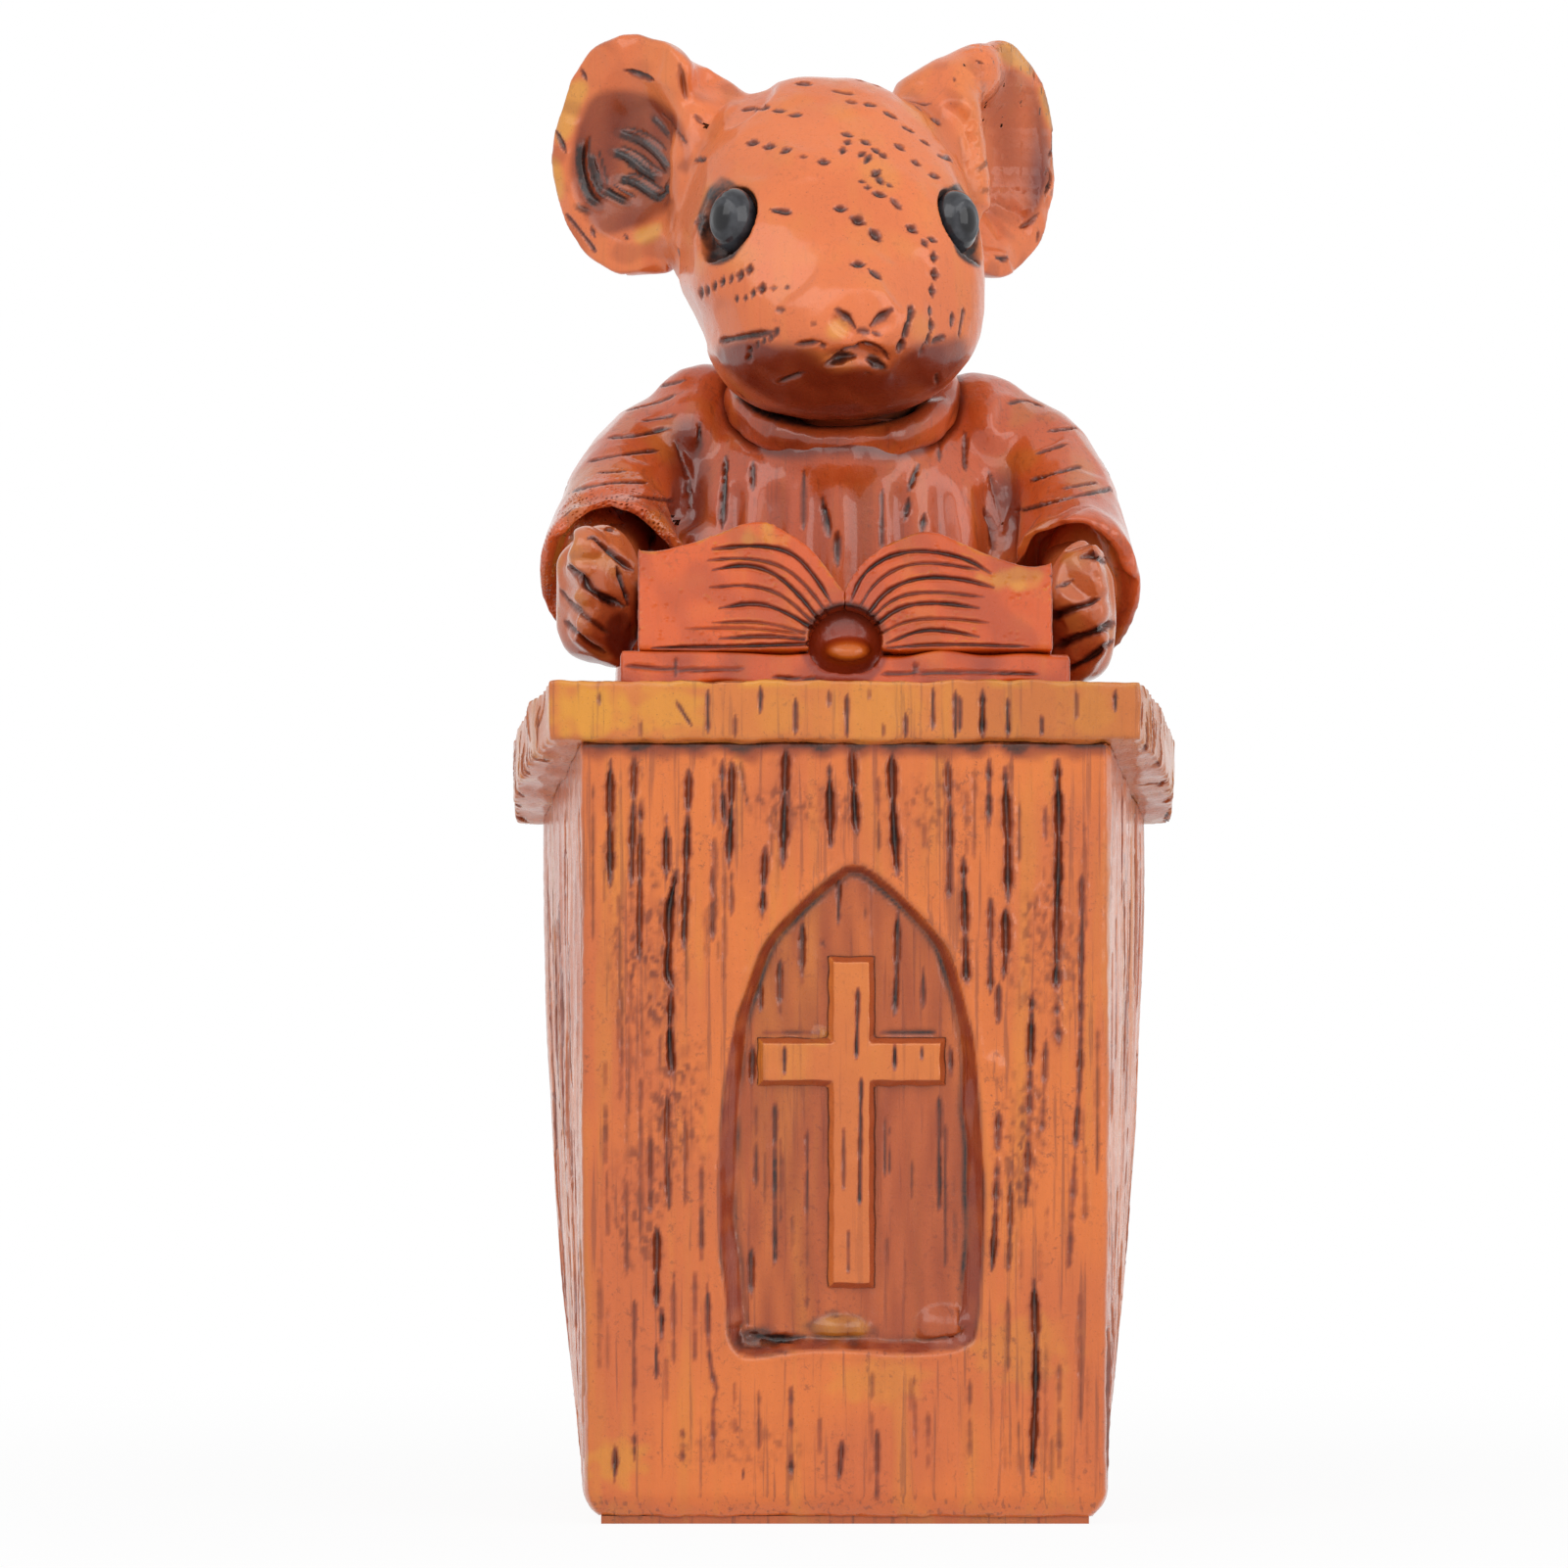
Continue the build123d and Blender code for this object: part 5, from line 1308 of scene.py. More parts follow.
def make_cross():
    """The raised cross in the niche."""
    cross = Piece("niche_cross_carved", cast_from("cross", roughed("niche_cross"), grain=0.1, rounding=2))
    low, high = box("niche_cross")
    cross.points += cross.normals * (0.03 * cross.ripple(1.6, 51))[:, None]
    cross.rest()
    cross.cuts(cross_cuts, depth=0.7)
    cross.settle()
    back = high[1] - cross.y
    # Painted shade on the cross's sides, all but those turned to the left
    cross.stain("glaze_and_shade", 0.75 * ease((0.86 + cross.normals[:, 1]) / 0.2) * (cross.normals[:, 0] > -0.4))
    cross.stain("wash", 0.9 * ease((0.34 - back) / 0.2) * (cross.normals[:, 2] > -0.4))
    cross.blot("amber", (-1.9, low[1], 30.5), (1.2, 1.0, 0.8), 0.8)
    cross.creases(rounds=5, gain=4.0, start=0.02)
    cross.done("resin_pulpit", cross_finish, "niche_cross")


def make_desk():
    """The sloping slab, with finer faces along its front edge and its ends."""
    low, high = box("desk_top")
    mesh = cast_from("desk", roughed("desk_top"), grain=0.26, rounding=2)

    def at_edge(place):
        return place.y < low[1] + 1.4 or abs(place.x) > high[0] - 1.4 - max(0, low[1] + 6 - place.y) * 0.35

    desk = Piece("desk_slab", refined(mesh, at_edge))
    desk.soften(2)
    desk.raised += 0.07 * desk.ripple(4, 61) + 0.03 * desk.ripple(1.6, 62)
    desk.settle()
    desk.cuts(desk_cuts, darker=0.85, depth=0.85)
    ends = (np.abs(desk.normals[:, 0]) > 0.7) & (desk.y > low[1] + 0.5)
    desk.scatter(
        count=70, seed=63, chosen=ends, way=(0, 0.2, -1), length=(0.8, 3.2), width=(0.2, 0.4),
        dark=(0.2, 0.7), spread=0.15,
    )
    behind = (desk.normals[:, 1] > 0.7) & (desk.y > high[1] - 1.5)
    desk.scatter(
        count=30, seed=64, chosen=behind, way=(0, 0, -1), length=(0.8, 3.0), width=(0.2, 0.4),
        dark=(0.3, 0.9), spread=0.15,
    )
    on_top = desk.normals[:, 2] > 0.8
    desk.scatter(
        count=46, seed=65, chosen=on_top, way=(1, 0, 0), length=(1.5, 8.0), width=(0.2, 0.4), dark=(0.2, 0.7),
        spread=0.1,
    )
    desk.settle()
    for x, reach, amount in desk_gold:
        desk.blot("amber", (x, low[1], 51.0), (reach, 2.0, 2.2), amount)
    desk.stain("glaze_and_shade", 0.25 * ease((desk.x - 5) / 6))
    desk.stain("amber", 0.8 * ease((desk.z - 52.2) / 0.5) * ease(desk.ripple(5, 66) + 0.5))
    desk.creases(rounds=5, gain=4.0, start=0.04)
    desk.done("resin_pulpit", desk_finish, "desk_top")


# Book
def make_cover():
    """The open boards, with a closed hollow and a drop of resin at the spine."""
    low = box("book_cover")[0]
    rough = roughed("book_cover")
    blob(rough, (0, -17.9, 55.1), (2.7, 1.35, 2.7))
    blob(rough, (0.15, -19.0, 54.8), (1.5, 1.2, 0.75))
    cover = Piece("book_boards", cast_from("cover", rough, grain=0.17, rounding=3))
    x, y, z = cover.points.T
    edge = ease((low[1] + 2.0 - y) / 1.5)
    cover.points[:, 2] += edge * (0.22 * cover.ripple(5, 71) - 0.1)
    cover.points[:, 2] -= 0.5 * edge * bell(x, 1.6) * ease((z - 53.2) / 1.0)
    cover.rest()
    cover.cuts(cover_cuts)
    cover.settle()
    cover.stain("glaze_and_shade", 0.25 + 0.3 * cover.ripple(3, 72))
    # Painted shade in the closed hollow at the spine, darkest towards its top, with a lighter amber oval at
    # its foot
    hollow = ease((3.0 - cover.front_gap((0.0, 55.2))) / 0.4)
    oval = ease(1.6 - 1.2 * cover.front_gap((0.15, 54.6), (1.5, 0.75)))
    cover.stain("wash", 0.45 * hollow * ease((cover.fronted()[:, 1] - 55.6) / 1.4) * (y > low[1] + 1.2))
    cover.glaze_and_shade = np.maximum(cover.glaze_and_shade, hollow) * (1 - oval) + 0.1
    cover.stain("amber", 0.35 * oval)
    cover.creases(rounds=5, gain=4.0, start=0.03)
    cover.done("resin_book", book_finish, "book_cover")


def make_pages(side, node, lines):
    """One block of pages, with its leaf edges cut at the head and the outer side."""
    low, high = box(node)
    mesh = cast_from(node + "_skin", roughed(node), grain=0.17, rounding=2)

    def at_head(place):
        return place.y < low[1] + 3.0

    pages = Piece(node + "_carved", refined(mesh, at_head))
    pages.soften(2)
    top = ease((pages.normals[:, 2] - 0.3) / 0.4)
    pages.points[:, 2] += top * 0.12 * pages.ripple(4, 81 + side)
    pages.raised += 0.025 * pages.ripple(2.2, 83 + side)
    pages.settle()
    for path, width, dark in lines:
        pages.cut(pages.traced(path), width, dark, depth=0.7, taper=5.0)
        pages.cut(pages.traced(path, True), width * 1.2, 0.8 * dark, depth=0.7)
    outer = np.flatnonzero(pages.normals[:, 0] * side > 0.7)
    dice = np.random.default_rng(85 + side)
    for level in np.linspace(0.12, 0.9, 8):
        height = low[2] + (high[2] - low[2]) * level
        path = []
        for share in np.linspace(0.02, 0.98, 22):
            y = low[1] + share * (high[1] - low[1])
            start = Vector((side * 40, y, height - (y - low[1]) * 0.25))
            place = pages.tree.ray_cast(start / metre, Vector((-side, 0, 0)))[0]
            if place is not None and abs(place.x) * metre > 9:
                path.append(np.array(place) * metre)
        if len(path) > 3:
            pages.cut(np.array(path), dice.uniform(0.2, 0.34), dice.uniform(0.4, 0.9), depth=0.7)
    for spot in pages.points[dice.choice(np.flatnonzero(pages.normals[:, 1] < -0.6), 130)]:
        pages.lump(spot, (0.16, 0.2, 0.16), dice.uniform(-0.07, 0.07))
    pages.settle()
    pages.stain("glaze_and_shade", 0.35 * ease(0.4 + pages.ripple(4, 87)))
    pages.stain("glaze_and_shade", 0.6 * np.isin(np.arange(len(pages.points)), outer))
    crown = ease((pages.normals[:, 2] - 0.2) / 0.4)
    pages.stain("amber", 0.6 * crown * ease(0.5 + pages.ripple(3.2, 88)))
    worn_edge = (-5.2, 62.0) if side < 0 else (10.6, 59.3)
    pages.blot("amber", (worn_edge[0], low[1] + 0.5, worn_edge[1]), (2.6, 2.5, 1.0), 1)
    # Painted shade in the hollow at the spine, with a dark wash line near its rim
    hollow = ease((3.1 - pages.front_gap((0.0, 54.9))) / 0.4)
    depth = pages.y - low[1]
    pages.stain("glaze_and_shade", 0.85 * hollow * ease((depth - 0.3) / 0.6))
    pages.stain("wash", 0.9 * hollow * bell(depth - 0.75, 0.45))
    pages.creases(rounds=4, gain=4.5, start=0.03)
    pages.done("resin_book", book_finish, node)


# Robe
def make_robe():
    """The robe and its sleeves, carved as one skin and parted at the joints."""
    low = box("robe_body")[0]
    rough = roughed("robe_body", "sleeve_left", "sleeve_right")
    blob(rough, (0, 5.5, 67.5), (6.6, 6.6, 4.2))
    for side in (-1, 1):
        blob(rough, (side * 8.6, 6.6, 65.6), (4.0, 4.6, 3.4), tilt=20)
        blob(rough, (side * 9.6, 7.2, 69.4), (3.0, 4.2, 3.4))
        blob(rough, (side * 8.4, 8.6, 70.4), (1.7, 3.2, 3.0))
        blob(rough, (side * 9.0, 8.4, 71.5 - 0.3 * side), (3.6, 3.4, 2.5))
        blob(rough, (side * 15.9, -0.9, 60.0), (3.1, 1.9, 4.1))
        blob(rough, (side * 15.7, 1.9, 60.4), (2.8, 3.9, 3.8))
    mesh = cast_from("robe", rough, grain=0.34, rounding=4)

    def in_view(place):
        return place.z > 50 and place.y < low[1] + 9

    robe = Piece("robe_and_sleeves", refined(mesh, in_view))
    body = robe.gap_to("robe_body")
    arms = {side: robe.gap_to("sleeve_left" if side < 0 else "sleeve_right") for side in (-1, 1)}
    arm = np.minimum(arms[-1], arms[1])
    x, y, z = robe.points.T
    slope = ease((z - 66.5) / 1.5) * ease((np.abs(x) - 6) / 1.5) * ease((13 - y) / 2)
    robe.soften(90, np.maximum(robe.joint(body, arm, 2.6) * ease((z - 56) / 4), slope))
    robe.soften(2)
    for index, x in enumerate((-6.8, -4.3, -1.6, 0.9, 3.4, 6.0, 8.6)):
        path = robe.traced([(x, 65.5), (x * 1.06, 60.0), (x * 1.12, 54.0)])
        robe.gouge(path, width=2.1 + 0.4 * (index % 2), depth=0.4, pool=0.35)
    for side in (-1, 1):
        path = robe.traced([(side * 9.6, 66.5), (side * 10.2, 63.0), (side * 10.4, 57.0)])
        robe.gouge(path, width=3.0, depth=0.7, pool=0.9)
    robe.raised += 0.1 * robe.ripple(6.0, 93, (1, 1, 0.2)) + 0.028 * robe.ripple(1.8, 94, (1, 1, 0.5))
    robe.settle()
    shoulders = (robe.z > 50) & (robe.y > 4) & (body < 0.6)
    robe.facets(count=22, seed=91, chosen=shoulders, depth=0.14, reach=3.0)
    robe.cuts(chest_cuts)
    back = (robe.y > 2) & (robe.z < 66) & (robe.z > 3) & (body < 0.6)
    robe.scatter(
        count=110, seed=92, chosen=back, way=(0, 0, -1), length=(2.0, 9.0), width=(0.3, 0.5), dark=(0.3, 0.9),
        spread=0.1,
    )
    robe.settle()
    carve_sleeve(robe, -1, "sleeve_left", arms[-1], sleeve_left_cuts, sleeve_left_mouth)
    carve_sleeve(robe, 1, "sleeve_right", arms[1], sleeve_right_cuts, sleeve_right_mouth)
    collared = robe.gap_to("collar")
    robe.stain("wash", 0.8 * ease((0.16 - collared) / 0.12))
    robe.stain("glaze_and_shade", 0.9 * ease((0.6 - collared) / 0.5))
    # Painted shade in the deep hollow between the left sleeve and the chest
    robe.stain("glaze_and_shade", robe.within(chest_shade_left, 1.5))
    robe.creases(rounds=14, gain=2.4, layer="glaze_and_shade", start=0.02)
    robe.creases(rounds=6, gain=3.2, start=0.05)
    hidden = robe.joint(body, arm, 2.0) * ease((robe.z - 54) / 3)
    robe.wash *= (1 - np.where(robe.x > 0, 0.9, 0.5) * hidden) * (1 - 0.7 * ease((0.9 - collared) / 0.4))
    # Painted shade on the robe's front below the book and paws
    robe.stain("glaze_and_shade", 0.7 * ease((56.5 - robe.z) / 3) * (robe.y < 4) * (body < 0.6))
    robe.parted("resin_robe", robe_finish, "robe_body", "sleeve_left", "sleeve_right")


def carve_sleeve(robe, side, node, gap, cuts, mouth):
    """Works one sleeve of the robe: a wavy cuff, chisel facets, cuts, and amber stain with painted shade
    inside its mouth.
    """
    low, high = box(node)
    middle = (low + high) / 2
    held = ease((1.0 - gap) / 0.5)
    rim = held * ease((low[1] + 3.2 - robe.y) / 2.4)
    robe.points[:, 2] += rim * 0.28 * robe.ripple(4.2, 111 + side)
    robe.rest()
    outward = ((robe.points - middle) * robe.normals).sum(1)
    robe.facets(count=30, seed=113 + side, chosen=(outward > 0.5) & (gap < 0.3), depth=0.15, reach=2.6)
    robe.cuts(cuts, wider=0.85, darker=0.9)
    outward = ((robe.points - middle) * robe.normals).sum(1)
    round_back = (outward > 0.5) & (gap < 0.3) & (robe.y > middle[1] + 2.5)
    round_back &= robe.z < high[2] - 4
    along_arm = (side * 0.25, -0.8, -0.45)
    robe.scatter(
        count=30, seed=114 + side, chosen=round_back, way=along_arm, length=(1.5, 5.0), width=(0.26, 0.44),
        dark=(0.4, 0.9), spread=0.2,
    )
    robe.settle()
    outward = ((robe.points - middle) * robe.normals).sum(1)
    inside = held * ease(0.5 - outward) * ease((low[1] + 6.5 - robe.y) / 2)
    robe.stain("amber", (0.9 if side < 0 else 0.4) * inside * ease(0.6 + robe.ripple(3.5, 119)))
    # Painted shade inside the sleeve's mouth, deepening further in
    robe.stain("glaze_and_shade", (0.2 if side < 0 else 0.1) * inside)
    robe.stain("glaze_and_shade", 0.6 * held * robe.within(mouth, 1.0) * ease((robe.y - low[1] - 2.5) / 2.5))
    robe.stain("amber", 0.35 * held * (outward > 0.5) * ease(robe.ripple(4.0, 117 + side) - 0.1))
    lining = ease((gap - 0.25) / 0.4) * robe.within(mouth, 0.6) * (robe.y > low[1] + 1)
    robe.stain("amber", (0.8 if side < 0 else 0.3) * lining * ease(0.7 + robe.ripple(3.5, 119)))


def make_collar():
    """The rolled band round the neck."""
    collar = Piece("collar_carved", cast_from("collar", roughed("collar"), grain=0.15, rounding=6))
    collar.raised += 0.07 * collar.ripple(2.6, 101) + 0.02 * collar.ripple(1.2, 104)
    collar.settle()
    collar.facets(count=16, seed=103, chosen=collar.y < 6, depth=0.08, reach=1.8)
    collar.stain("wash", ease((0.75 - collar.gap_to("head")) / 0.4))
    collar.stain("wash", 0.6 * ease((0.3 - collar.gap_to("robe_body")) / 0.25))
    collar.blot("wash", (-6.3, -0.5, 67.8), (0.5, 2.5, 0.4), 0.8)
    collar.stain("glaze_and_shade", 0.3 + 0.3 * collar.ripple(3, 102))
    collar.creases(rounds=6, gain=4.0, start=0.03)
    collar.done("resin_robe", robe_finish, "collar")


# Paws
def make_hand(side, node, cuts):
    """One paw, with its fingers parted by cuts."""
    rough = roughed(node)
    low, high = box(node)
    middle = (low + high) / 2
    blob(rough, (middle[0] + side * 0.1, low[1] + 3.4, middle[2]), (2.75, 3.3, 4.5))
    hand = Piece(node + "_carved", cast_from(node + "_skin", rough, grain=0.15, rounding=9))
    upper = ease((hand.z - low[2] - 4.5) / 4.5) * ease((low[1] + 8 - hand.y) / 3)
    hand.points[:, 2] -= 0.8 * upper
    if side > 0:
        past = np.maximum(hand.x - low[0] - 2.5, 0)
        hand.points[:, 0] -= 0.3 * past * ease((low[1] + 8 - hand.y) / 3)
    hand.rest()
    hand.raised += 0.06 * hand.ripple(3.0, 121 + side)
    hand.settle()
    hand.facets(count=14, seed=123 + side, chosen=hand.y < low[1] + 5, depth=0.14, reach=2.4)
    for path, width, dark in cuts:
        laid = hand.traced(path)
        hand.gouge(laid, width=1.3, depth=0.16)
        hand.cut(laid, width, dark, depth=0.9)
    hand.settle()
    # Painted shade at the foot of the left fist and on every face of the paw that turns downwards
    if side < 0:
        hand.stain("glaze_and_shade", 0.95 * hand.within(hand_left_shade, 0.5))
    hand.stain("glaze_and_shade", 0.5 * ease(-0.3 - hand.normals[:, 2]))
    hand.stain("amber", 0.4 * ease(hand.ripple(3.0, 125) - 0.2))
    for block in ("book_cover", "book_pages_left", "book_pages_right"):
        hand.stain("wash", 0.8 * ease((0.5 - hand.gap_to(block)) / 0.4))
    hand.creases(rounds=7, gain=3.0, start=0.04)
    hand.done("resin_fur", paw_finish, node)


# Head
def head_blank():
    """The head and its ears under one skin, cut off above the spigot and webbed between skull and ears."""
    rough = roughed("head")
    blob(rough, (-1, 6, 84), (8, 8, 6))
    neck_way = Vector((0, -sin(radians(30)), cos(radians(30))))
    kept = rough.verts[:] + rough.edges[:] + rough.faces[:]
    neck = (Vector((0, 6.35, 70.6)) + neck_way * 0.4) / metre
    cut = bmesh.ops.bisect_plane(rough, geom=kept, plane_co=neck, plane_no=neck_way, clear_inner=True)
    rim = [piece for piece in cut["geom_cut"] if isinstance(piece, bmesh.types.BMEdge)]
    bmesh.ops.holes_fill(rough, edges=rim, sides=0)
    for node in ("ear_left", "ear_right"):
        rough.from_mesh(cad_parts[node].data)
    bmesh.ops.remove_doubles(rough, verts=rough.verts, dist=1e-7)
    for place, radius in ear_webs:
        blob(rough, place, (radius, radius, radius))
    return Piece("head_and_ears", cast_from("head_skin", rough, grain=0.165, rounding=6))


def make_head():
    """The head and its ears, carved as one skin and parted at the joints."""
    head = head_blank()
    skull = head.gap_to("head")
    ears = {-1: head.gap_to("ear_left"), 1: head.gap_to("ear_right")}
    ear = np.minimum(ears[-1], ears[1])
    eyes = [sum(box(node)) / 2 for node in ("eye_left", "eye_right")]
    by_eyes = np.min([head.away_from(eye) for eye in eyes], axis=0)
    webbed = np.max(
        [ease((radius + 1.2 - head.away_from(place)) / 0.8) for place, radius in ear_webs], axis=0
    )
    head.soften(150, np.maximum(head.joint(skull, ear, 2.4), webbed))
    face = skull < 0.3
    cheek = ease(1 - np.abs(head.z - 75.5) / 4.5) * ease((-head.x - 5.5) / 4) * face
    head.points[:, 0] += 0.9 * cheek
    head.rest()
    head.soften(8, 0.8 * ease((by_eyes - 3.0) / 2))
    head.raised += face * (0.05 * head.ripple(3.2, 132) + 0.014 * head.ripple(1.3, 134))
    head.settle()
    by_nose = head.front_gap((0.4, 74.6))
    head.facets(
        count=46, seed=131, chosen=(by_eyes > 4.6) & (by_nose > 5) & (head.z > 72) & face, depth=0.19,
        reach=3.2,
    )
    head.soften(1, 0.8 * ease((by_eyes - 3.0) / 1.5))
    for eye in eyes:
        way = (Vector(eye) - Vector((-0.6, 0, eye[2]))).normalized()
        reach = head.pocket(Vector(eye) + way * 0.45, (2.05, 2.05, 2.65), way)
        outer = ease(((head.points - eye) @ np.array((way.x / abs(way.x), 0, -0.3)) + 0.3) / 1.2)
        head.stain("wash", 0.95 * ease((1.0 + 0.25 * outer - reach) / 0.08))
        head.stain("glaze_and_shade", 0.6 * ease((1.0 + 0.3 * outer - reach) / 0.12))
    for path, width, dark in head_dashes:
        head.cut(head.traced(path), 1.2 * width, dark, depth=0.8, burr=0.2, taper=0.7)
    head.cuts(head_cuts + nose_cuts + mouth_cuts)
    back = (head.y > 3) & (head.z > 74) & face
    head.scatter(
        count=70, seed=133, chosen=back, way=(0, 0.4, -1), length=(0.7, 1.6), width=(0.3, 0.4),
        dark=(0.5, 0.9), spread=0.35,
    )
    head.settle()
    uneven = 0.5 + 0.5 * head.ripple(2.4, 137)
    paint = 0.86 + 0.14 * head.ripple(1.5, 138)
    paint *= ease((4.1 - by_eyes) / 0.8)
    head.stain("wash", paint * head.within(eye_left_ring, 0.3))
    head.stain("wash", paint * head.within(eye_right_ring, 0.2))
    # Painted shade under the snout, over the lower lip and chin
    head.stain("glaze_and_shade", 0.98 * head.within(chin_shade, 1.1) * (0.92 + 0.16 * uneven))
    head.stain("wash", 0.85 * head.within(lip_left, 0.25))
    head.stain("wash", 0.85 * head.within(lip_right, 0.25))
    head.stain("amber", 0.7 * head.within(snout_gold, 0.6))
    head.stain("amber", 0.35 * face * ease(head.ripple(4.5, 135) - 0.3))
    # Painted shade on the faces of the head that turn downwards
    head.stain("glaze_and_shade", 0.5 * face * ease(-0.1 - head.normals[:, 2]))
    head.stain("wash", ease((0.5 - head.gap_to("collar")) / 0.35))
    head.stain("glaze_and_shade", 0.3 * head.joint(skull, ear, 1.6) * uneven)
    carve_ear(head, -1, ears[-1], ear_left_cup, ear_left_gold, ear_left_strands, ear_left_cuts)
    carve_ear(head, 1, ears[1], ear_right_cup, ear_right_gold, ear_right_strands, ear_right_cuts)
    head.creases(rounds=8, gain=2.2, start=0.08)
    head.parted("resin_fur", fur_finish, "head", "ear_left", "ear_right")


def carve_ear(head, side, gap, cup, gold, strands, cuts):
    """Works one ear: chisel facets on its rim, shade and dark hair in its cup, and yellow on its edge."""
    held = ease((0.9 - gap) / 0.4)
    head.raised += 0.1 * held * head.ripple(3.4, 141 + side)
    head.settle()
    head.facets(
        count=26, seed=143 + side, chosen=(gap < 0.3) & (head.within(cup, 0.5) < 0.2), depth=0.16, reach=2.6
    )
    hollow = held * head.within(cup, 0.7)
    across = head.fronted()[:, 0]
    shade = 0.78 if side < 0 else 0.42 + 0.45 * ease((across - 11.0) / 1.2)
    head.stain("glaze_and_shade", hollow * (shade + 0.15 * head.ripple(2.6, 145, (1, 1, 0.4))))
    for path, width, dark in strands:
        head.strand(head.traced(path), 0.62 * width, dark)
        head.cut(head.traced([(x + 0.5, z + 0.35) for x, z in path]), 0.4 * width, 0.8 * dark, depth=0.8)
    head.cuts(cuts)
    head.settle()
    for patch in gold:
        head.stain("amber", held * head.within(patch, 0.6))
    head.stain("glaze_and_shade", 0.3 * held * ease(head.ripple(2.5, 146) - 0.2))
    behind = (head.normals[:, 1] > 0.2) & (gap < 0.3)
    head.scatter(
        count=26, seed=147 + side, chosen=behind, way=(0, 0.2, -1), length=(0.7, 1.8), width=(0.26, 0.4),
        dark=(0.4, 0.9), spread=0.4,
    )
    head.settle()


# Eyes and tail
def make_eye(side, node):
    """One bead eye, with a dark pupil in a faint ring."""
    eye = Piece(node + "_bead", cast_from(node + "_skin", roughed(node), grain=0.09, rounding=2))
    low, high = box(node)
    gaze = (low + high) / 2 + np.array((side * 0.9, -1.2, 0.1))
    away = eye.away_from(gaze, (0.9, 0.9, 1.1))
    eye.wash = ease((0.95 - away) / 0.35)
    ring = bell(away - 1.25, 0.16)
    eye.raised += 0.05 * ring
    eye.settle()
    eye.glaze_and_shade = 0.8 * ring * (eye.x < gaze[0])
    eye.done("eye_bead", eye_finish, node)


def make_tail():
    """The tail, ringed with fine cuts."""
    tail = Piece("tail_carved", cast_from("tail_skin", roughed("tail"), grain=0.16, rounding=3))
    tail.raised += 0.05 * tail.ripple(2.0, 151)
    tail.settle()
    dice = np.random.default_rng(153)
    for level in np.arange(3.6, 18.5, 0.8):
        close = np.abs(tail.z - level) < 0.5
        if close.any():
            start = tail.points[np.flatnonzero(close)[0]]
            tail.cut(tail.run(start, (1, 0, dice.uniform(-0.2, 0.2)), 3.0), 0.22, 0.6, depth=0.6)
    tail.settle()
    tail.creases(rounds=5, gain=4.0, start=0.02)
    tail.done("resin_fur", fur_finish, "tail")


# All the pieces, from the pulpit up
make_pulpit()
make_cross()
make_desk()
make_cover()
make_pages(-1, "book_pages_left", page_left_lines)
make_pages(1, "book_pages_right", page_right_lines)
make_robe()
make_collar()
make_hand(-1, "hand_left", hand_left_cuts)
make_hand(1, "hand_right", hand_right_cuts)
make_head()
make_eye(-1, "eye_left")
make_eye(1, "eye_right")
make_tail()

# Base plate, which keeps its CAD mesh
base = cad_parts["base_plate"]
base.data.materials.clear()
base.data.materials.append(base_finish)


# Studio, in metres
def softbox(name, place, aim, size, power):
    """A square soft light that points at a place."""
    light = bpy.data.lights.new(name, "AREA")
    light.size = size
    light.energy = power
    lamp = bpy.data.objects.new(name, light)
    lamp.location = Vector(place)
    lamp.rotation_euler = (Vector(aim) - Vector(place)).to_track_quat("-Z", "Y").to_euler()
    bpy.context.scene.collection.objects.link(lamp)


softbox("key_left", place=(-0.42, -0.5, 0.5), aim=(0, 0, 0.06), size=0.5, power=1.5)
softbox("fill_right", place=(0.5, -0.45, 0.3), aim=(0, 0, 0.05), size=0.5, power=1.5)
softbox("front_top", place=(0.0, -0.7, 0.5), aim=(0, 0, 0.05), size=0.45, power=0.8)

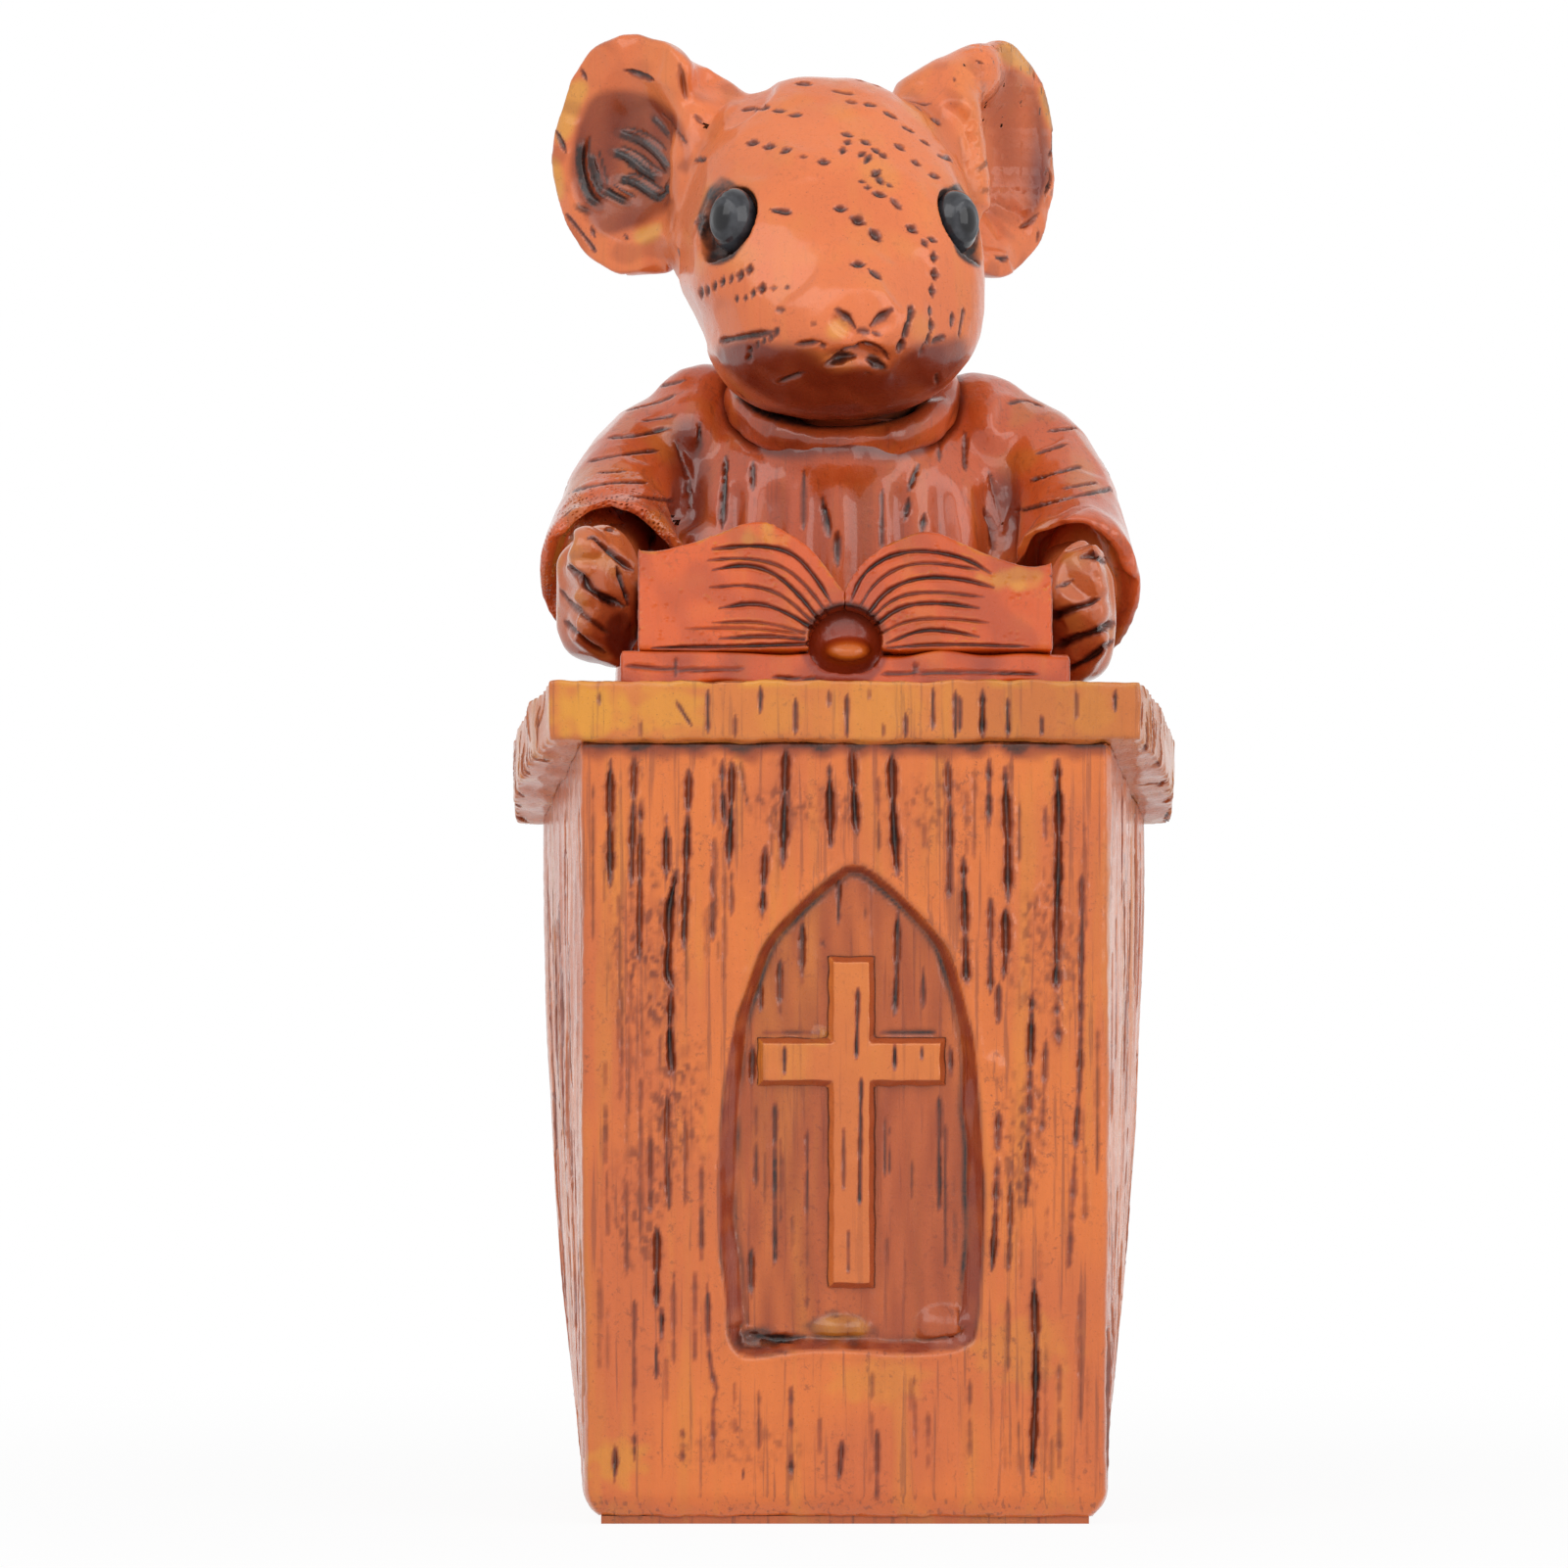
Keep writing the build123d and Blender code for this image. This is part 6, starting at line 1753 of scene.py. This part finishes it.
world = bpy.data.worlds.new("studio")
bpy.context.scene.world = world
world.use_nodes = True
sky = world.node_tree
sky.nodes.clear()
rays = node_in(sky, "ShaderNodeLightPath")
plain = maths(sky, "MAXIMUM", rays.outputs["Is Camera Ray"], rays.outputs["Is Glossy Ray"])
plain = maths(sky, "MAXIMUM", plain, rays.outputs["Is Transmission Ray"])
white = node_in(sky, "ShaderNodeBackground", in_Color=(1, 1, 1, 1), in_Strength=1.0)
ambient = node_in(sky, "ShaderNodeBackground", in_Color=(1, 1, 1, 1), in_Strength=0.5)
mixed = node_in(sky, "ShaderNodeMixShader", in_0=plain, in_1=ambient.outputs[0], in_2=white.outputs[0])
out = node_in(sky, "ShaderNodeOutputWorld")
sky.links.new(mixed.outputs[0], out.inputs["Surface"])

floor_shape = bmesh.new()
bmesh.ops.create_grid(floor_shape, x_segments=1, y_segments=1, size=3.0)
floor_mesh = bpy.data.meshes.new("floor")
floor_shape.to_mesh(floor_mesh)
floor_shape.free()
floor = bpy.data.objects.new("floor", floor_mesh)
bpy.context.scene.collection.objects.link(floor)
floor_finish = bpy.data.materials.new("pale_floor")
floor_finish.use_nodes = True
ground = floor_finish.node_tree
matt = ground.nodes["Principled BSDF"]
dialled(matt, Base_Color=(0.92, 0.92, 0.92, 1), Roughness=0.9, Specular_IOR_Level=0.0)
glow = node_in(ground, "ShaderNodeEmission", in_Color=(1, 1, 1, 1), in_Strength=1.0)
spot = node_in(ground, "ShaderNodeTexCoord").outputs["Object"]
away = node_in(ground, "ShaderNodeVectorMath", operation="LENGTH", in_0=spot).outputs["Value"]
fade = node_in(ground, "ShaderNodeMapRange", interpolation_type="SMOOTHSTEP", in_Value=away)
dialled(fade, From_Min=0.03, From_Max=0.14, To_Min=0.93, To_Max=1.0)
path = node_in(ground, "ShaderNodeLightPath")
looked = maths(ground, "MAXIMUM", path.outputs["Is Camera Ray"], path.outputs["Is Glossy Ray"])
share = maths(ground, "MULTIPLY", looked, fade.outputs[0])
blend_floor = node_in(ground, "ShaderNodeMixShader", in_0=share, in_1=matt.outputs[0], in_2=glow.outputs[0])
ground.links.new(blend_floor.outputs[0], ground.nodes["Material Output"].inputs["Surface"])
floor_mesh.materials.append(floor_finish)

camera_data = bpy.data.cameras.new("camera")
camera_data.lens = lens_length
camera_data.sensor_width = sensor_width
camera_data.clip_start = nearest_seen / metre
camera = bpy.data.objects.new("camera", camera_data)
camera.location = eye_place / metre
camera.rotation_euler = (radians(90), 0, 0)
bpy.context.scene.collection.objects.link(camera)
bpy.context.scene.camera = camera
bpy.context.scene.view_settings.view_transform = "Standard"
